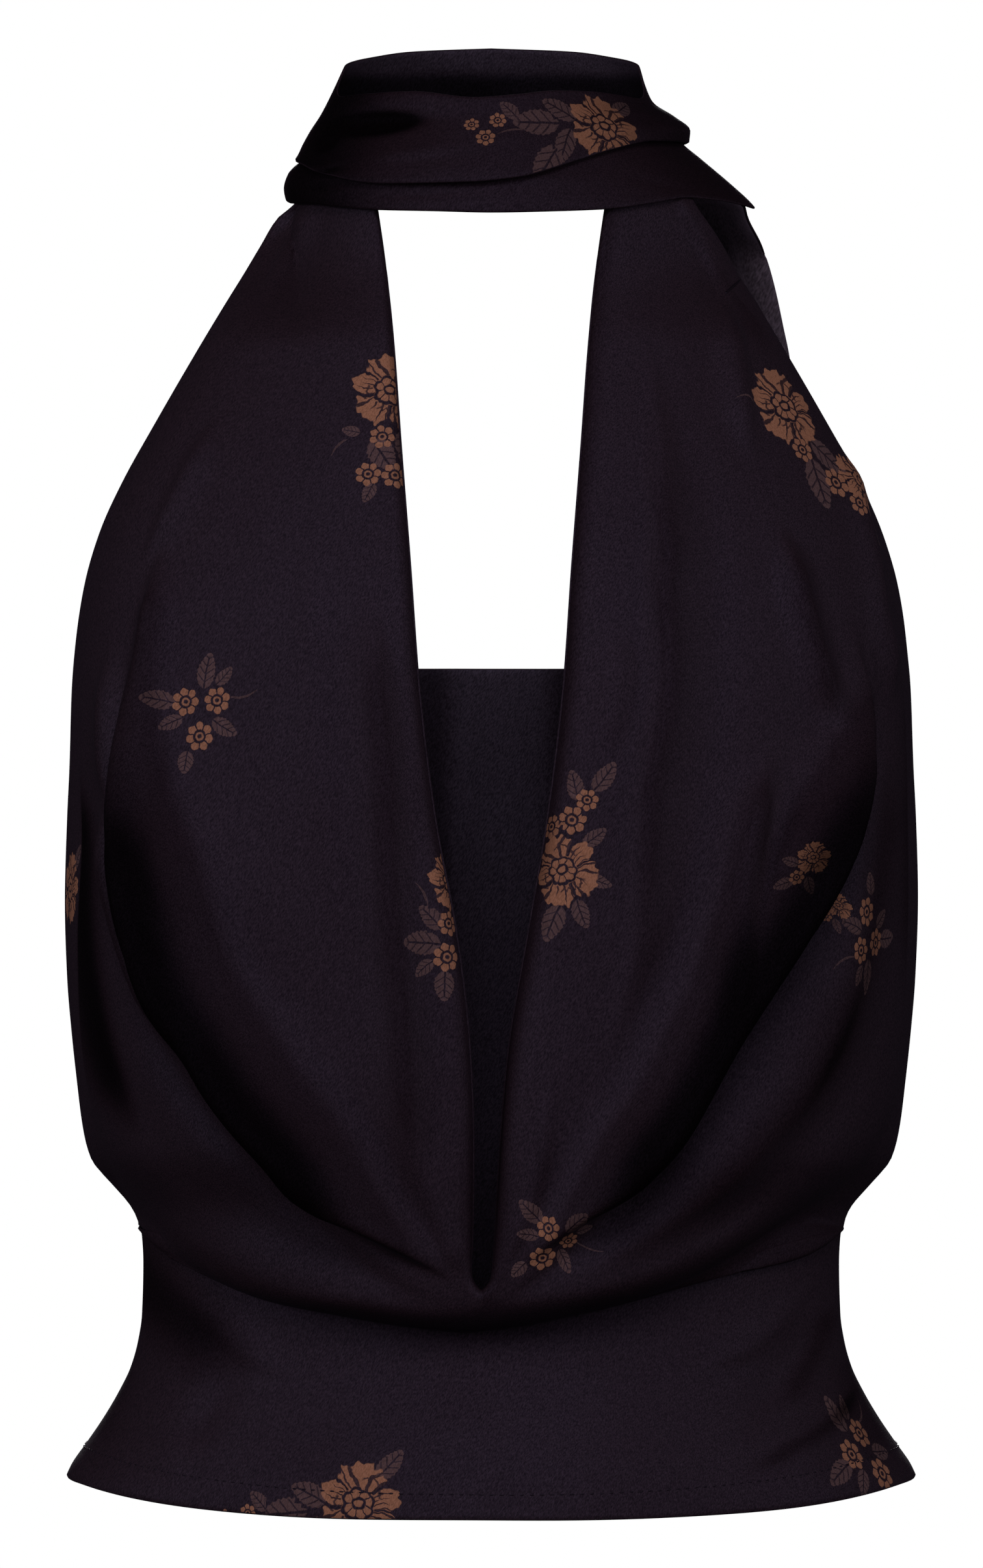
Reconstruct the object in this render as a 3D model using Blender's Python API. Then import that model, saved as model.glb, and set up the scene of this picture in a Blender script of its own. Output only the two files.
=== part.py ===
"""A cowl neck halter top in satin, as it stands on a wearer who isn't there.

The neckline is a deep V whose cloth runs down in swags and hangs over a fitted waist. A scarf winds
twice round the neck and one end falls down the back. The back is cut low. Sizes are in millimetres,
with x to the right, y to the back and z up from the middle of the neck, which is the origin. A drop
is a distance below the origin.
"""

import bpy
import numpy as np

MM = 0.001

# Cloth and seams
WALL = 1.5
SEAM_GAP = 0.3
# The cowl meets the waist this far above the waist's own top edge
SEAM_LIFT = 2.4
WAIST_CLEAR = 4.4
LAYER_STEP = WALL + 1.7

# The outlines of the front are taken from straight in front, this far away and this far down
EYE_DISTANCE = 2400.0
EYE_DROP = 229.0

# Levels
BACK_TOP = 186.0
WAIST_SEAM = 391.5
HEM_SIDE = 479.3
HEM_FRONT_DIP = 4.8

# Half width of the top at each drop: the edge of the armhole above BACK_TOP, the side seam below
SIDES = {
    "drop": (8, 17, 19, 21, 22.5, 34.3, 43.7, 53.2, 62.6, 81.5, 100.4, 119.2, 138.1, 157, 175.9, 194.8, 223, 242, 270, 298.6,
             317.5, 336.4, 355.2, 364.7, 374.1, 383.6, 393, 402.4, 421.3, 430.8, 440.2, 449.6, 459.1, 468.5, 475.6,
             480),
    "left": (68.5, 69.8, 71, 74.6, 76.7, 84.3, 89.9, 95.8, 101.5, 112.6, 123.4, 133.8, 142.3, 147.7, 150.6, 152.2, 153.2, 154.1,
             154.8, 153.9, 152.5, 150.6, 148.2, 145.6, 137.8, 130, 127, 126.5, 127, 128.4, 131, 135.5, 141.1, 147.5,
             152.5, 154.6),
    "right": (70, 73.6, 74.6, 75.8, 77, 84.8, 89.6, 96, 101.5, 112.6, 123.4, 133.8, 142.3, 147.7, 150.6, 152.2, 153.2, 154.1,
              154.8, 153.9, 152.5, 150.6, 148.2, 145.6, 137.8, 130, 127, 126.5, 127, 128.4, 131, 135.5, 141.1, 147.5,
              152.5, 154.6),
}

# How far the front stands forward of the side seams, in the middle and at its outer edge, and how
# square its corners are
FRONT = {
    "drop": (15, 39, 67, 107, 150, 195, 241, 285, 327, 360, 390, 415, 430),
    "middle": (67, 72, 80, 95, 108, 117, 123, 126, 126, 125, 122, 118, 112),
    "side": (26, 29, 32, 27, 13, 0, 0, 0, 0, 0, 0, 0, 0),
    "square": (2.0, 2.1, 2.3, 2.6, 2.8, 3.0, 3.0, 2.8, 2.5, 2.3, 2.2, 2.2, 2.2),
}
# How far the neckline's edge rolls in towards the wearer on each side, and how far the overhang rolls
# under at its lowest line
NECKLINE_ROLL = {
    "drop": (8, 60, 150, 220, 300, 380, 415),
    "left": (2, 2.5, 4, 5, 6, 6, 3),
    "right": (2, 2.5, 4, 8, 11, 9, 3),
}
OVERHANG_ROLL = 13.0
WAIST_FRONT = {"drop": (391, 412, 431, 450, 468, 484), "middle": (92, 91, 93, 98, 104, 107)}
BACK = {
    "drop": (186, 240, 290, 340, 391, 412, 431, 450, 468, 480),
    "middle": (88, 97, 97, 91, 82, 81, 84, 91, 100, 106),
}

# Sections across the cowl, from the neck to its lowest point. Each runs from the neckline edge, over
# the main valley and the crest that hangs lowest, to the seam. The seam column is a length along the
# armhole, side seam and waist seam, counted as a drop down to the waist corner.
COWL_COLUMNS = ("edge_x", "edge_drop", "valley_x", "valley_drop", "crest_x", "crest_drop", "seam")
COWL_LEFT = (
    (-41.5, 8, -56, 8, -65.5, 8, 8),
    (-39.6, 20, -59.5, 20.5, -69, 20, 20),
    (-36.9, 39, -67, 41, -84.3, 39, 39),
    (-34.2, 67, -83, 73, -101.2, 67.5, 67.5),
    (-31.4, 107, -104, 114, -124, 107.5, 107.5),
    (-28.1, 150, -120, 157, -142.3, 152, 150),
    (-24.8, 195, -131.5, 195, -149.4, 195, 195),
    (-19.1, 241, -130.5, 244, -150.8, 244, 244),
    (-11.1, 284, -116.5, 293, -150.3, 294, 294),
    (-7.8, 327, -93.5, 340, -145.1, 343.5, 343.5),
    (-7.3, 355, -74, 365, -137, 368, 368),
    (-7.6, 377, -54, 383, -124.6, 390, 391),
    (-7.8, 398, -28, 401, -84, 415.4, 454.5),
    (-8.0, 406, -17, 409.5, -55, 421.5, 476.5),
    (-6.8, 411.5, -9.5, 416, -30, 425.7, 494.5),
    (-3.8, 414.7, -4.2, 420, -9.9, 427.6, 514.5),
)
COWL_RIGHT = (
    (41.5, 8, 57, 8, 66, 8, 8),
    (39.6, 20, 60, 20, 70.5, 20, 20),
    (36.9, 39, 66, 40, 78.5, 38.5, 38.5),
    (34.2, 67, 81.5, 71, 100.5, 66.5, 66.5),
    (31.4, 107, 102.7, 114, 124, 107.5, 107.5),
    (28.1, 150, 120.4, 157, 142.3, 151, 150),
    (24.8, 195, 134.5, 196, 149, 195, 195),
    (19.1, 241, 121.5, 239, 150.6, 244, 244),
    (11.8, 284, 97, 284, 150.3, 294, 294),
    (7.8, 327, 71, 327.5, 146, 343.5, 343.5),
    (5.0, 360, 52, 361, 132, 369, 374),
    (3.5, 381, 37, 378, 111, 384, 391),
    (1.7, 402, 15, 399, 60, 413, 474),
    (0.9, 408, 8, 409, 35, 420, 491),
    (-0.6, 412.2, 1.0, 416, 10, 425.5, 507),
    (-3.8, 414.7, -4.2, 420, -9.9, 427.6, 514.5),
)
MIDDLE_RUN = 514.5
COWL_ACROSS = 64
ROLL_COLUMNS = 2
EDGE_TO_VALLEY = 13
VALLEY_TO_CREST = 8
CREST_TO_SEAM = 5
ROLL_RADIUS = 2.0

# The largest folds of the cowl. Height is out of the cloth, and a valley's is negative. Inner is the
# half width on the neckline's side and outer on the other. Fades are the shares of the length over
# which a fold starts and ends. The path is x and drop.
COWL_FOLDS = (
    ("left_valley", -27, 17, 7, 0.5, 0.12,
     ((-129, 171), (-132, 200), (-131, 240), (-123, 268), (-115, 298), (-97, 336), (-70, 369), (-42, 393), (-12, 410))),
    ("left_ridge", 4, 8, 14, 0.3, 0.2,
     ((-145, 180), (-148, 235), (-143, 265), (-130, 309), (-106, 350), (-72, 386.5), (-37, 411), (-16, 418))),
    ("left_side", -8, 8, 5, 0.3, 0.3, ((-140, 232), (-139, 255), (-132, 285), (-122, 310), (-108, 333))),
    ("left_chest", -6, 9, 8, 0.3, 0.4,
     ((-119, 141), (-120, 162), (-122, 180), (-122, 205), (-118, 235), (-110, 256))),
    ("left_neckline", -5, 8, 10, 0.2, 0.2,
     ((-43, 157), (-42, 187), (-38, 221), (-36.5, 262), (-32.5, 303), (-30, 343), (-26, 384))),
    ("left_strap", -4.5, 5, 6, 0.1, 0.6, ((-65.5, 19), (-69.6, 33), (-76, 43), (-84, 54))),
    ("right_valley", -26, 10, 5, 0.3, 0.12,
     ((132.4, 171), (134, 189), (134.5, 200), (128, 221), (121, 241), (108, 268), (89, 296), (74, 321), (60, 352),
      (46, 368), (27, 387), (8, 405))),
    ("right_ridge", 4, 6, 12, 0.3, 0.2,
     ((139, 171), (141, 194), (137, 214), (129, 236), (119, 263), (101, 298.5), (84, 325), (67, 353), (44, 386),
      (22, 405), (1, 420))),
    ("right_second", -8, 8, 6, 0.3, 0.3, ((103, 211), (94, 245), (87, 275), (79, 309), (74, 323))),
    ("right_long", -5, 8, 7, 0.3, 0.35,
     ((55.5, 67), (59, 97), (60, 119), (62, 146), (61, 162), (63, 194), (57, 225), (55, 256), (53, 282), (47, 309),
      (41, 332))),
    ("right_chest", -7, 7, 6, 0.15, 0.25,
     ((105, 136), (107.5, 149), (111.5, 168), (119.5, 195), (129, 212))),
    ("right_shoulder", -3, 7, 7, 0.3, 0.4, ((84.5, 52), (87, 65), (91, 92), (95, 114))),
    ("right_lower", -5, 12, 12, 0.35, 0.35,
     ((138, 251), (129, 287), (113, 329.5), (98, 350), (82, 370), (58, 390.5), (30, 407))),
)

# The scarf's two turns round the neck, as half widths to the left and right and depths to the front
# and back at each drop, outside
UPPER_TURN = {
    "drop": (-38, -32, -24, -18, -13, -8, -3, 2, 6, 10),
    "left": (50.2, 53.3, 57, 59.9, 62.6, 65.9, 68.7, 71.2, 76, 79),
    "right": (50.6, 53.9, 56.4, 59.2, 66.8, 72.6, 72.2, 73, 74, 75),
    "front": (55, 57, 61, 63.5, 65.5, 68, 70.5, 73, 75, 76.5),
    "back": (50, 52, 55, 57, 59, 61, 62.5, 64, 65, 66),
}
LOWER_TURN = {
    "drop": (-8, -3, 2, 5, 8, 13, 18, 21),
    "left": (61, 64, 67.5, 71.6, 74.2, 75.6, 74.6, 73.4),
    "right": (66, 70, 76, 79.6, 83.2, 89, 94.4, 97),
    "front": (62, 65, 68, 69.5, 71, 73, 74.5, 75),
    "back": (55.5, 58, 60.5, 62, 63.5, 65.5, 68, 69),
}
# The top and bottom edge of each turn at each angle from the front, where 90 is the right side
UPPER_EDGES = {
    "angle": (-180, -144, -122, -100, -88, -78, -66, -52, -29, -6, 8, 25, 38, 55, 68, 80, 90, 100, 122, 144, 180),
    "top": (-37.6, -36.4, -34.2, -32, -27, -21.5, -20.2, -21.2, -22.1, -20, -20.9, -22.4, -22.1, -20.7, -19.5, -20,
            -25, -31.6, -34.2, -36.4, -37.6),
    "bottom": (2, 2, 2, 2, 2.2, 2.9, 4, 7.4, 10.8, 10.2, 8.4, 2.6, -1.5, -4.6, -4.4, -3.9, -3.9, -3.4, -2, 1, 2),
}
LOWER_EDGES = {
    "angle": (-180, -130, -92, -80, -62, -49, -34, -17, 0, 15, 26, 39, 51, 61, 82, 92, 130, 180),
    "top": (-4, -4, -5, -4.5, -3, -1, 0.5, 1, 0.5, -2, -5, -7, -8, -8, -8, -8, -6, -4),
    "bottom": (12, 12, 16.5, 18, 18.3, 19.4, 20.4, 20.8, 21.3, 20.8, 20.1, 17.8, 15.9, 16.8, 19.4, 20, 14, 12),
}
TURN_ROUND = 40
TURN_DOWN = 4

# The end of the scarf that falls down the back, as sections at each drop: how far it stands out from
# the turn that holds it, and how far it has moved back
TAIL_START, TAIL_END = 88.0, 150.0
TAIL_HELD = 20.0
TAIL = {
    "drop": (4, 20, 34, 44, 63, 77, 110, 145, 176),
    "out": (0, 0, 5.8, 9, 13, 15.5, 17, 17, 16),
    "back": (0, 0, 1, 2, 6, 9, 14, 18, 22),
}
TAIL_ACROSS = 8
TAIL_ROWS = 12

BACK_ACROSS, BACK_ROWS = 28, 13
# Soft upright folds of the back: x in the middle of the fold, height, half width
BACK_FOLDS = ((-88, -3.5, 14), (-48, 2.5, 13), (-14, -3.0, 10), (22, 2.5, 12), (60, -3.5, 14), (100, 2.5, 12))
WAIST_ACROSS, WAIST_ROWS = 26, 8

SATIN = (0.018, 0.012, 0.019, 1.0)
REVERSE = (0.024, 0.018, 0.025, 1.0)


def smooth(xs, ys, x):
    """The value at x on a smooth curve through the points, which never passes above or below them."""
    xs, ys, x = np.asarray(xs, float), np.asarray(ys, float), np.asarray(x, float)
    width = np.diff(xs)
    slope = np.diff(ys) / width
    tangent = np.concatenate([[slope[0]], np.zeros(len(xs) - 2), [slope[-1]]])
    for i in range(1, len(xs) - 1):
        before, after = slope[i - 1], slope[i]
        if before * after > 0:
            near, far = 2 * width[i] + width[i - 1], width[i] + 2 * width[i - 1]
            tangent[i] = (near + far) / (near / before + far / after)
    i = np.clip(np.searchsorted(xs, x, side="right") - 1, 0, len(width) - 1)
    t = np.clip((x - xs[i]) / width[i], 0, 1)
    return (ys[i] * (1 + 2 * t) * (1 - t) ** 2 + tangent[i] * width[i] * t * (1 - t) ** 2
            + ys[i + 1] * t * t * (3 - 2 * t) + tangent[i + 1] * width[i] * t * t * (t - 1))


def flowing(stations, values, at):
    """Values at a position along a round curve through the stations, for paths that bend freely."""
    stations, values = np.asarray(stations, float), np.asarray(values, float)
    tangent = np.gradient(values, stations)
    i = np.clip(np.searchsorted(stations, at, side="right") - 1, 0, len(stations) - 2)
    width = stations[i + 1] - stations[i]
    t = np.clip((at - stations[i]) / width, 0, 1)
    return (values[i] * (1 + 2 * t) * (1 - t) ** 2 + tangent[i] * width * t * (1 - t) ** 2
            + values[i + 1] * t * t * (3 - 2 * t) + tangent[i + 1] * width * t * t * (t - 1))


def ease(low, high, x):
    """0 below low, 1 above high and a smooth step between them."""
    t = np.clip((np.asarray(x, float) - low) / (high - low), 0, 1)
    return t * t * (3 - 2 * t)


def column(table, name, drop):
    return smooth(table["drop"], table[name], drop)


def in_view(x, drop, y):
    """The point at depth y that is seen from the front at x and drop in the plane of the side seams."""
    near = 1 + y / EYE_DISTANCE
    return np.stack([x * near, y, -EYE_DROP + (EYE_DROP - drop) * near], axis=-1)


def half_width(x, drop):
    return np.where(np.asarray(x) < 0, column(SIDES, "left", drop), column(SIDES, "right", drop)) - WALL / 2


def bow(share, square):
    """A rounded section: 1 in the middle and 0 where share is 1, and squarer as square grows."""
    return (1 - np.clip(np.abs(share), 0, 1) ** square) ** (1 / square)


def turn_size(table, name, drop, inset):
    return column(table, name, drop) - WALL / 2 - inset


def turn_depth(table, x, drop, inset):
    """How far a layer this far inside a turn of the scarf stands forward at x and drop."""
    side = np.where(x < 0, turn_size(table, "left", drop, inset), turn_size(table, "right", drop, inset))
    return turn_size(table, "front", drop, inset) * np.sqrt(1 - np.clip(np.abs(x) / side, 0, 0.995) ** 2)


def front_depth(x, drop):
    """The forward reach of the smooth front, before its folds."""
    share = np.abs(x) / half_width(x, drop)
    side = column(FRONT, "side", drop)
    open_front = side + (column(FRONT, "middle", drop) - side) * bow(share, column(FRONT, "square", drop))
    under_scarf = turn_depth(LOWER_TURN, x, np.clip(drop, 8, LOWER_TURN["drop"][-1]), LAYER_STEP)
    return under_scarf + (open_front - under_scarf) * ease(21, 70, drop)


def fold_height(folds, x, drop):
    """The sum of the folds at points x and drop, out of the cloth."""
    total = np.zeros(np.shape(x))
    for _, height, inner, outer, start, end, path in folds:
        path = np.array(path, float)
        knots = np.arange(len(path))
        fine = np.linspace(0, knots[-1], 6 * len(path))
        line = np.stack([flowing(knots, path[:, 0], fine), flowing(knots, path[:, 1], fine)], axis=-1)
        a, along = line[:-1], np.diff(line, axis=0)
        length = np.concatenate([[0], np.cumsum(np.hypot(*along.T))])
        rel = np.stack([x, drop], axis=-1)[..., None, :] - a
        t = np.clip((rel * along).sum(-1) / (along ** 2).sum(-1), 0, 1)
        away = rel - t[..., None] * along
        far = np.hypot(away[..., 0], away[..., 1])
        nearest = far.argmin(-1)[..., None]
        pick = lambda values: np.take_along_axis(values, nearest, -1)[..., 0]
        distance = pick(far)
        here = pick((length[:-1] + t * np.diff(length)) / length[-1])
        outside = np.abs(x) > np.abs(pick(np.broadcast_to(a[:, 0] + t * along[:, 0], far.shape)))
        width = np.where(outside, outer, inner)
        fade = ease(0, start, here) * ease(0, end, 1 - here)
        total += height * fade * np.exp(-1.6 * (distance / width) ** 2)
    return total


def normals(grid):
    """Unit normals of a grid of points, which point to the right of its rows."""
    along, across = np.gradient(grid, axis=0), np.gradient(grid, axis=1)
    n = np.cross(along, across)
    return n / np.maximum(np.linalg.norm(n, axis=-1, keepdims=True), 1e-9)


def seam_point(sign, run):
    """The outer edge of the cowl, along the armhole and side, then round the waist to its middle."""
    drop = np.minimum(run, WAIST_SEAM - SEAM_LIFT)
    side = half_width(sign * np.ones_like(run), drop)
    turn = np.radians(90) * np.maximum(run - WAIST_SEAM + SEAM_LIFT, 0) / (MIDDLE_RUN - WAIST_SEAM + SEAM_LIFT)
    ahead = 2.2 + (LAYER_STEP - 2.2) * ease(0, 0.2, turn)
    waist = (column(WAIST_FRONT, "middle", WAIST_SEAM) + ahead) * np.sin(turn)
    y = np.minimum(np.where(turn > 0, -waist, -front_side(sign, drop)), -SEAM_GAP / 2)
    x = sign * (side + ahead * (turn > 0)) * np.cos(turn)
    flat = np.stack([x, y, -drop], axis=-1)
    return np.where((turn > 0)[:, None], flat, in_view(x, drop, y))


def clear_of_waist(points):
    """Moves points that hang outside the waist clear of its cloth."""
    x, y, drop = points[..., 0], points[..., 1], -points[..., 2]
    across = half_width(x, drop) + WAIST_CLEAR
    ahead = column(WAIST_FRONT, "middle", drop) + WAIST_CLEAR
    short = np.maximum(1 / np.maximum(np.hypot(x / across, y / ahead), 0.5) - 1, 0)
    grow = 1 + short * ease(WAIST_SEAM - 4.5, WAIST_SEAM - 2, drop)
    return points * np.stack([grow, grow, np.ones_like(grow)], axis=-1)


def front_side(sign, drop):
    return front_depth(sign * half_width(sign * np.ones_like(drop), drop), drop)


def rolled(distance, radius):
    """How far a rounded edge falls back at a distance from its line."""
    inside = np.clip(1 - distance / radius, 0, 1)
    return radius * (1 - np.sqrt(1 - inside ** 2))


def cowl_half(table, sign, positions):
    """One half of the cowl as a grid: rows run down the neckline and columns out to the seam."""
    table = np.array(table, float)
    middle = table[:, 2:6].reshape(-1, 2, 2).mean(1)
    stations = np.concatenate([[0], np.cumsum(np.hypot(*np.diff(middle, axis=0).T))])
    at = positions * stations[-1]
    edge_x, edge_d, valley_x, valley_d, crest_x, crest_d, run = (
        flowing(stations, table[:, k], at)[:, None] for k in range(7)
    )
    even = np.linspace(0, 1, EDGE_TO_VALLEY + 1)
    run[np.abs(run - WAIST_SEAM).argmin()] = WAIST_SEAM - SEAM_LIFT
    to_valley = 0.45 * even + 0.55 * even ** 2 * (3 - 2 * even)
    even = np.linspace(0, 1, VALLEY_TO_CREST + 1)[1:]
    to_crest = 0.5 * even + 0.5 * even ** 2 * (3 - 2 * even)
    step = np.hypot(valley_x - edge_x, valley_d - edge_d)
    edge_x, edge_d = (edge_x + ROLL_RADIUS * (valley_x - edge_x) / step, edge_d + ROLL_RADIUS * (valley_d - edge_d) / step)
    x = np.hstack([edge_x + (valley_x - edge_x) * to_valley, valley_x + (crest_x - valley_x) * to_crest])
    drop = np.hstack([edge_d + (valley_d - edge_d) * to_valley, valley_d + (crest_d - valley_d) * to_crest])
    roll = column(NECKLINE_ROLL, "left" if sign < 0 else "right", edge_d)
    depth = front_depth(x, drop)
    depth = depth - rolled(np.hypot(x - edge_x, drop - edge_d), roll)
    hang = ease(300, 385, run)
    depth = depth - np.minimum(hang * rolled(np.hypot(x - crest_x, drop - crest_d), OVERHANG_ROLL), 0.5 * depth)
    face = in_view(x, drop, -depth)
    outward = normals(in_view(x, drop, -front_depth(x, drop))) * -sign
    face = face + outward * fold_height(COWL_FOLDS, x, drop)[..., None]

    crest, seam = face[:, -1], seam_point(sign, run[:, 0])
    leave = face[:, -1] - face[:, -2]
    leave /= np.linalg.norm(leave, axis=-1, keepdims=True)
    under = ease(WAIST_SEAM + 4, WAIST_SEAM + 40, run)
    arrive = (1 - under) * np.array([0, 1.0, 0]) + under * np.array([0, 0.25, 1.0])
    reach = np.linalg.norm(seam - crest, axis=-1, keepdims=True) * (0.6 + 0.5 * ease(20, 90, run))
    t = (np.arange(CREST_TO_SEAM) + 1)[:, None, None] / CREST_TO_SEAM
    turned = (crest * (1 + 2 * t) * (1 - t) ** 2 + leave * reach * t * (1 - t) ** 2
              + seam * t * t * (3 - 2 * t) + arrive * reach * t * t * (t - 1))

    turned[:-1, :, 1] = np.minimum(turned[:-1, :, 1], -WALL)

    inward = face[:, 0] - face[:, 1]
    inward /= np.linalg.norm(inward, axis=-1, keepdims=True)
    rolls = []
    for k in range(ROLL_COLUMNS, 0, -1):
        angle = np.pi / 2 * k / ROLL_COLUMNS
        rolls.append(face[:, 0] + ROLL_RADIUS * (inward * np.sin(angle) - outward[:, 0] * (1 - np.cos(angle))))
    hanging = clear_of_waist(np.concatenate([face, np.moveaxis(turned[:-1], 0, 1)], axis=1))
    return np.concatenate([np.stack(rolls, 1), hanging, turned[-1][:, None]], axis=1)


def cowl_grid():
    positions = np.concatenate([[0, 0.019, 0.032], np.linspace(0.052, 1, COWL_ACROSS // 2 - 2)])
    left = cowl_half(COWL_LEFT, -1, positions)
    right = cowl_half(COWL_RIGHT, 1, positions)
    left[-1] = right[-1] = (left[-1] + right[-1]) / 2
    return np.concatenate([left, right[-2::-1]], axis=0)


def turn_grid(table, edges):
    """One turn of the scarf round the neck, as a closed grid of rows from its top to its bottom edge."""
    angle = np.linspace(-180, 180, TURN_ROUND + 1)[:-1][:, None]
    top, bottom = smooth(edges["angle"], edges["top"], angle), smooth(edges["angle"], edges["bottom"], angle)
    drop = top + (bottom - top) * np.linspace(0, 1, TURN_DOWN + 1)
    turn = np.radians(angle) * np.ones_like(drop)
    side = np.where(turn < 0, turn_size(table, "left", drop, 0), turn_size(table, "right", drop, 0))
    depth = np.where(np.cos(turn) > 0, turn_size(table, "front", drop, 0), turn_size(table, "back", drop, 0))
    return in_view(side * np.sin(turn), drop, -depth * np.cos(turn))


def tail_grid():
    """The hanging end of the scarf. Its top follows the inside of the lower turn."""
    angle = np.radians(np.linspace(TAIL_START, TAIL_END, TAIL_ACROSS + 1))
    drop = np.linspace(TAIL["drop"][0], TAIL["drop"][-1], TAIL_ROWS + 1)[:, None]
    held = np.minimum(drop, TAIL_HELD)
    side, depth = turn_size(LOWER_TURN, "right", held, LAYER_STEP), turn_size(LOWER_TURN, "back", held, LAYER_STEP)
    x = (side + column(TAIL, "out", drop)) * np.sin(angle)
    return in_view(x, drop * np.ones_like(x), column(TAIL, "back", drop) - depth * np.cos(angle))


def back_grid():
    turn = np.linspace(-90, 90, BACK_ACROSS + 1)
    share = np.sign(turn) * (1 - (1 - np.abs(turn) / 90) ** 1.25)
    turn = np.radians(90 * share)
    drop = np.linspace(BACK_TOP, HEM_SIDE, BACK_ROWS + 1)[:, None]
    side = half_width(turn * np.ones_like(drop), drop)
    x = side * np.sin(turn)
    y = column(BACK, "middle", drop) * np.abs(np.cos(turn)) ** 0.85
    for centre, height, width in BACK_FOLDS:
        fade = ease(0, 40, WAIST_SEAM + 10 - drop) * (0.55 + 0.45 * ease(BACK_TOP, BACK_TOP + 60, drop))
        y = y + height * fade * np.exp(-1.6 * ((x - centre) / width) ** 2) * np.cos(turn) ** 0.5
    y = np.maximum(y, SEAM_GAP / 2)
    return np.stack([x, y, -drop * np.ones_like(x)], axis=-1)


def waist_grid():
    turn = np.radians(np.linspace(-90, 90, WAIST_ACROSS + 1))
    level = np.linspace(0, 1, WAIST_ROWS + 1)[:, None]
    bottom = HEM_SIDE + HEM_FRONT_DIP * ease(0.25, 0.95, np.cos(turn))
    drop = WAIST_SEAM + SEAM_GAP / 2 + (bottom - WAIST_SEAM - SEAM_GAP / 2) * level
    x = half_width(turn * np.ones_like(drop), drop) * np.sin(turn)
    y = -column(WAIST_FRONT, "middle", drop) * np.cos(turn)
    return np.stack([x, np.minimum(y, -SEAM_GAP / 2), -drop], axis=-1)


def wall_mesh(name, grid, outward, closed=False):
    """A closed wall around a grid of points in millimetres. Its outer face lies on the side of outward."""
    if closed:
        ring = np.concatenate([grid[-1:], grid, grid[:1]])
        facing = normals(ring)[1:-1]
    else:
        facing = normals(grid)
    facing = facing * outward
    rows, columns = grid.shape[:2]
    points = np.concatenate([(grid + facing * WALL / 2).reshape(-1, 3), (grid - facing * WALL / 2).reshape(-1, 3)])
    inner = rows * columns
    at = lambda i, j: (i % rows) * columns + j
    faces = []
    for i in range(rows if closed else rows - 1):
        for j in range(columns - 1):
            a, b, c, d = at(i, j), at(i + 1, j), at(i + 1, j + 1), at(i, j + 1)
            faces += [(a, b, c, d), (inner + d, inner + c, inner + b, inner + a)]
        for j in (0, columns - 1):
            a, b = at(i, j), at(i + 1, j)
            rim = (a, inner + a, inner + b, b)
            faces.append(rim if j == 0 else rim[::-1])
    if not closed:
        for i in (0, rows - 1):
            for j in range(columns - 1):
                a, b = at(i, j), at(i, j + 1)
                rim = (b, inner + b, inner + a, a)
                faces.append(rim if i == 0 else rim[::-1])
    if outward < 0:
        faces = [face[::-1] for face in faces]
    mesh = bpy.data.meshes.new(name)
    mesh.from_pydata((points * MM).tolist(), [], faces)
    mesh.update()
    mesh.shade_smooth()
    return mesh


def satin(name, colour, roughness):
    material = bpy.data.materials.new(name)
    material.use_nodes = True
    shader = material.node_tree.nodes["Principled BSDF"]
    shader.inputs["Base Color"].default_value = colour
    shader.inputs["Roughness"].default_value = roughness
    shader.inputs["Metallic"].default_value = 0.0
    return material


def add(name, grid, outward, material, closed=False):
    mesh = wall_mesh(name, grid, outward, closed)
    mesh.materials.append(material)
    cloth = bpy.data.objects.new(name, mesh)
    bpy.context.scene.collection.objects.link(cloth)
    return cloth


def main():
    for old in list(bpy.data.objects):
        bpy.data.objects.remove(old)
    face = satin("satin", SATIN, 0.42)
    reverse = satin("satin_reverse", REVERSE, 0.6)
    add("cowl_front", cowl_grid(), 1, face)
    add("waist_front", waist_grid(), -1, face)
    add("back", back_grid(), 1, face)
    add("scarf_upper_turn", turn_grid(UPPER_TURN, UPPER_EDGES), 1, face, closed=True)
    add("scarf_lower_turn", turn_grid(LOWER_TURN, LOWER_EDGES), 1, face, closed=True)
    add("scarf_tail", tail_grid(), 1, reverse)


main()
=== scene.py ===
"""Cowl neck halter top in printed satin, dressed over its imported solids.

The neckline is a deep V whose cloth runs down in swags and hangs over a fitted waist. A scarf winds twice
round the neck and one end falls down the back. The tables are in millimetres, with x to the right, y to the
back and z up from the middle of the neck. A drop is a distance below it. All that is made is in metres.
"""

import math

import bpy
import numpy as np
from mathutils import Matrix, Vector
from mathutils.bvhtree import BVHTree


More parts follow.
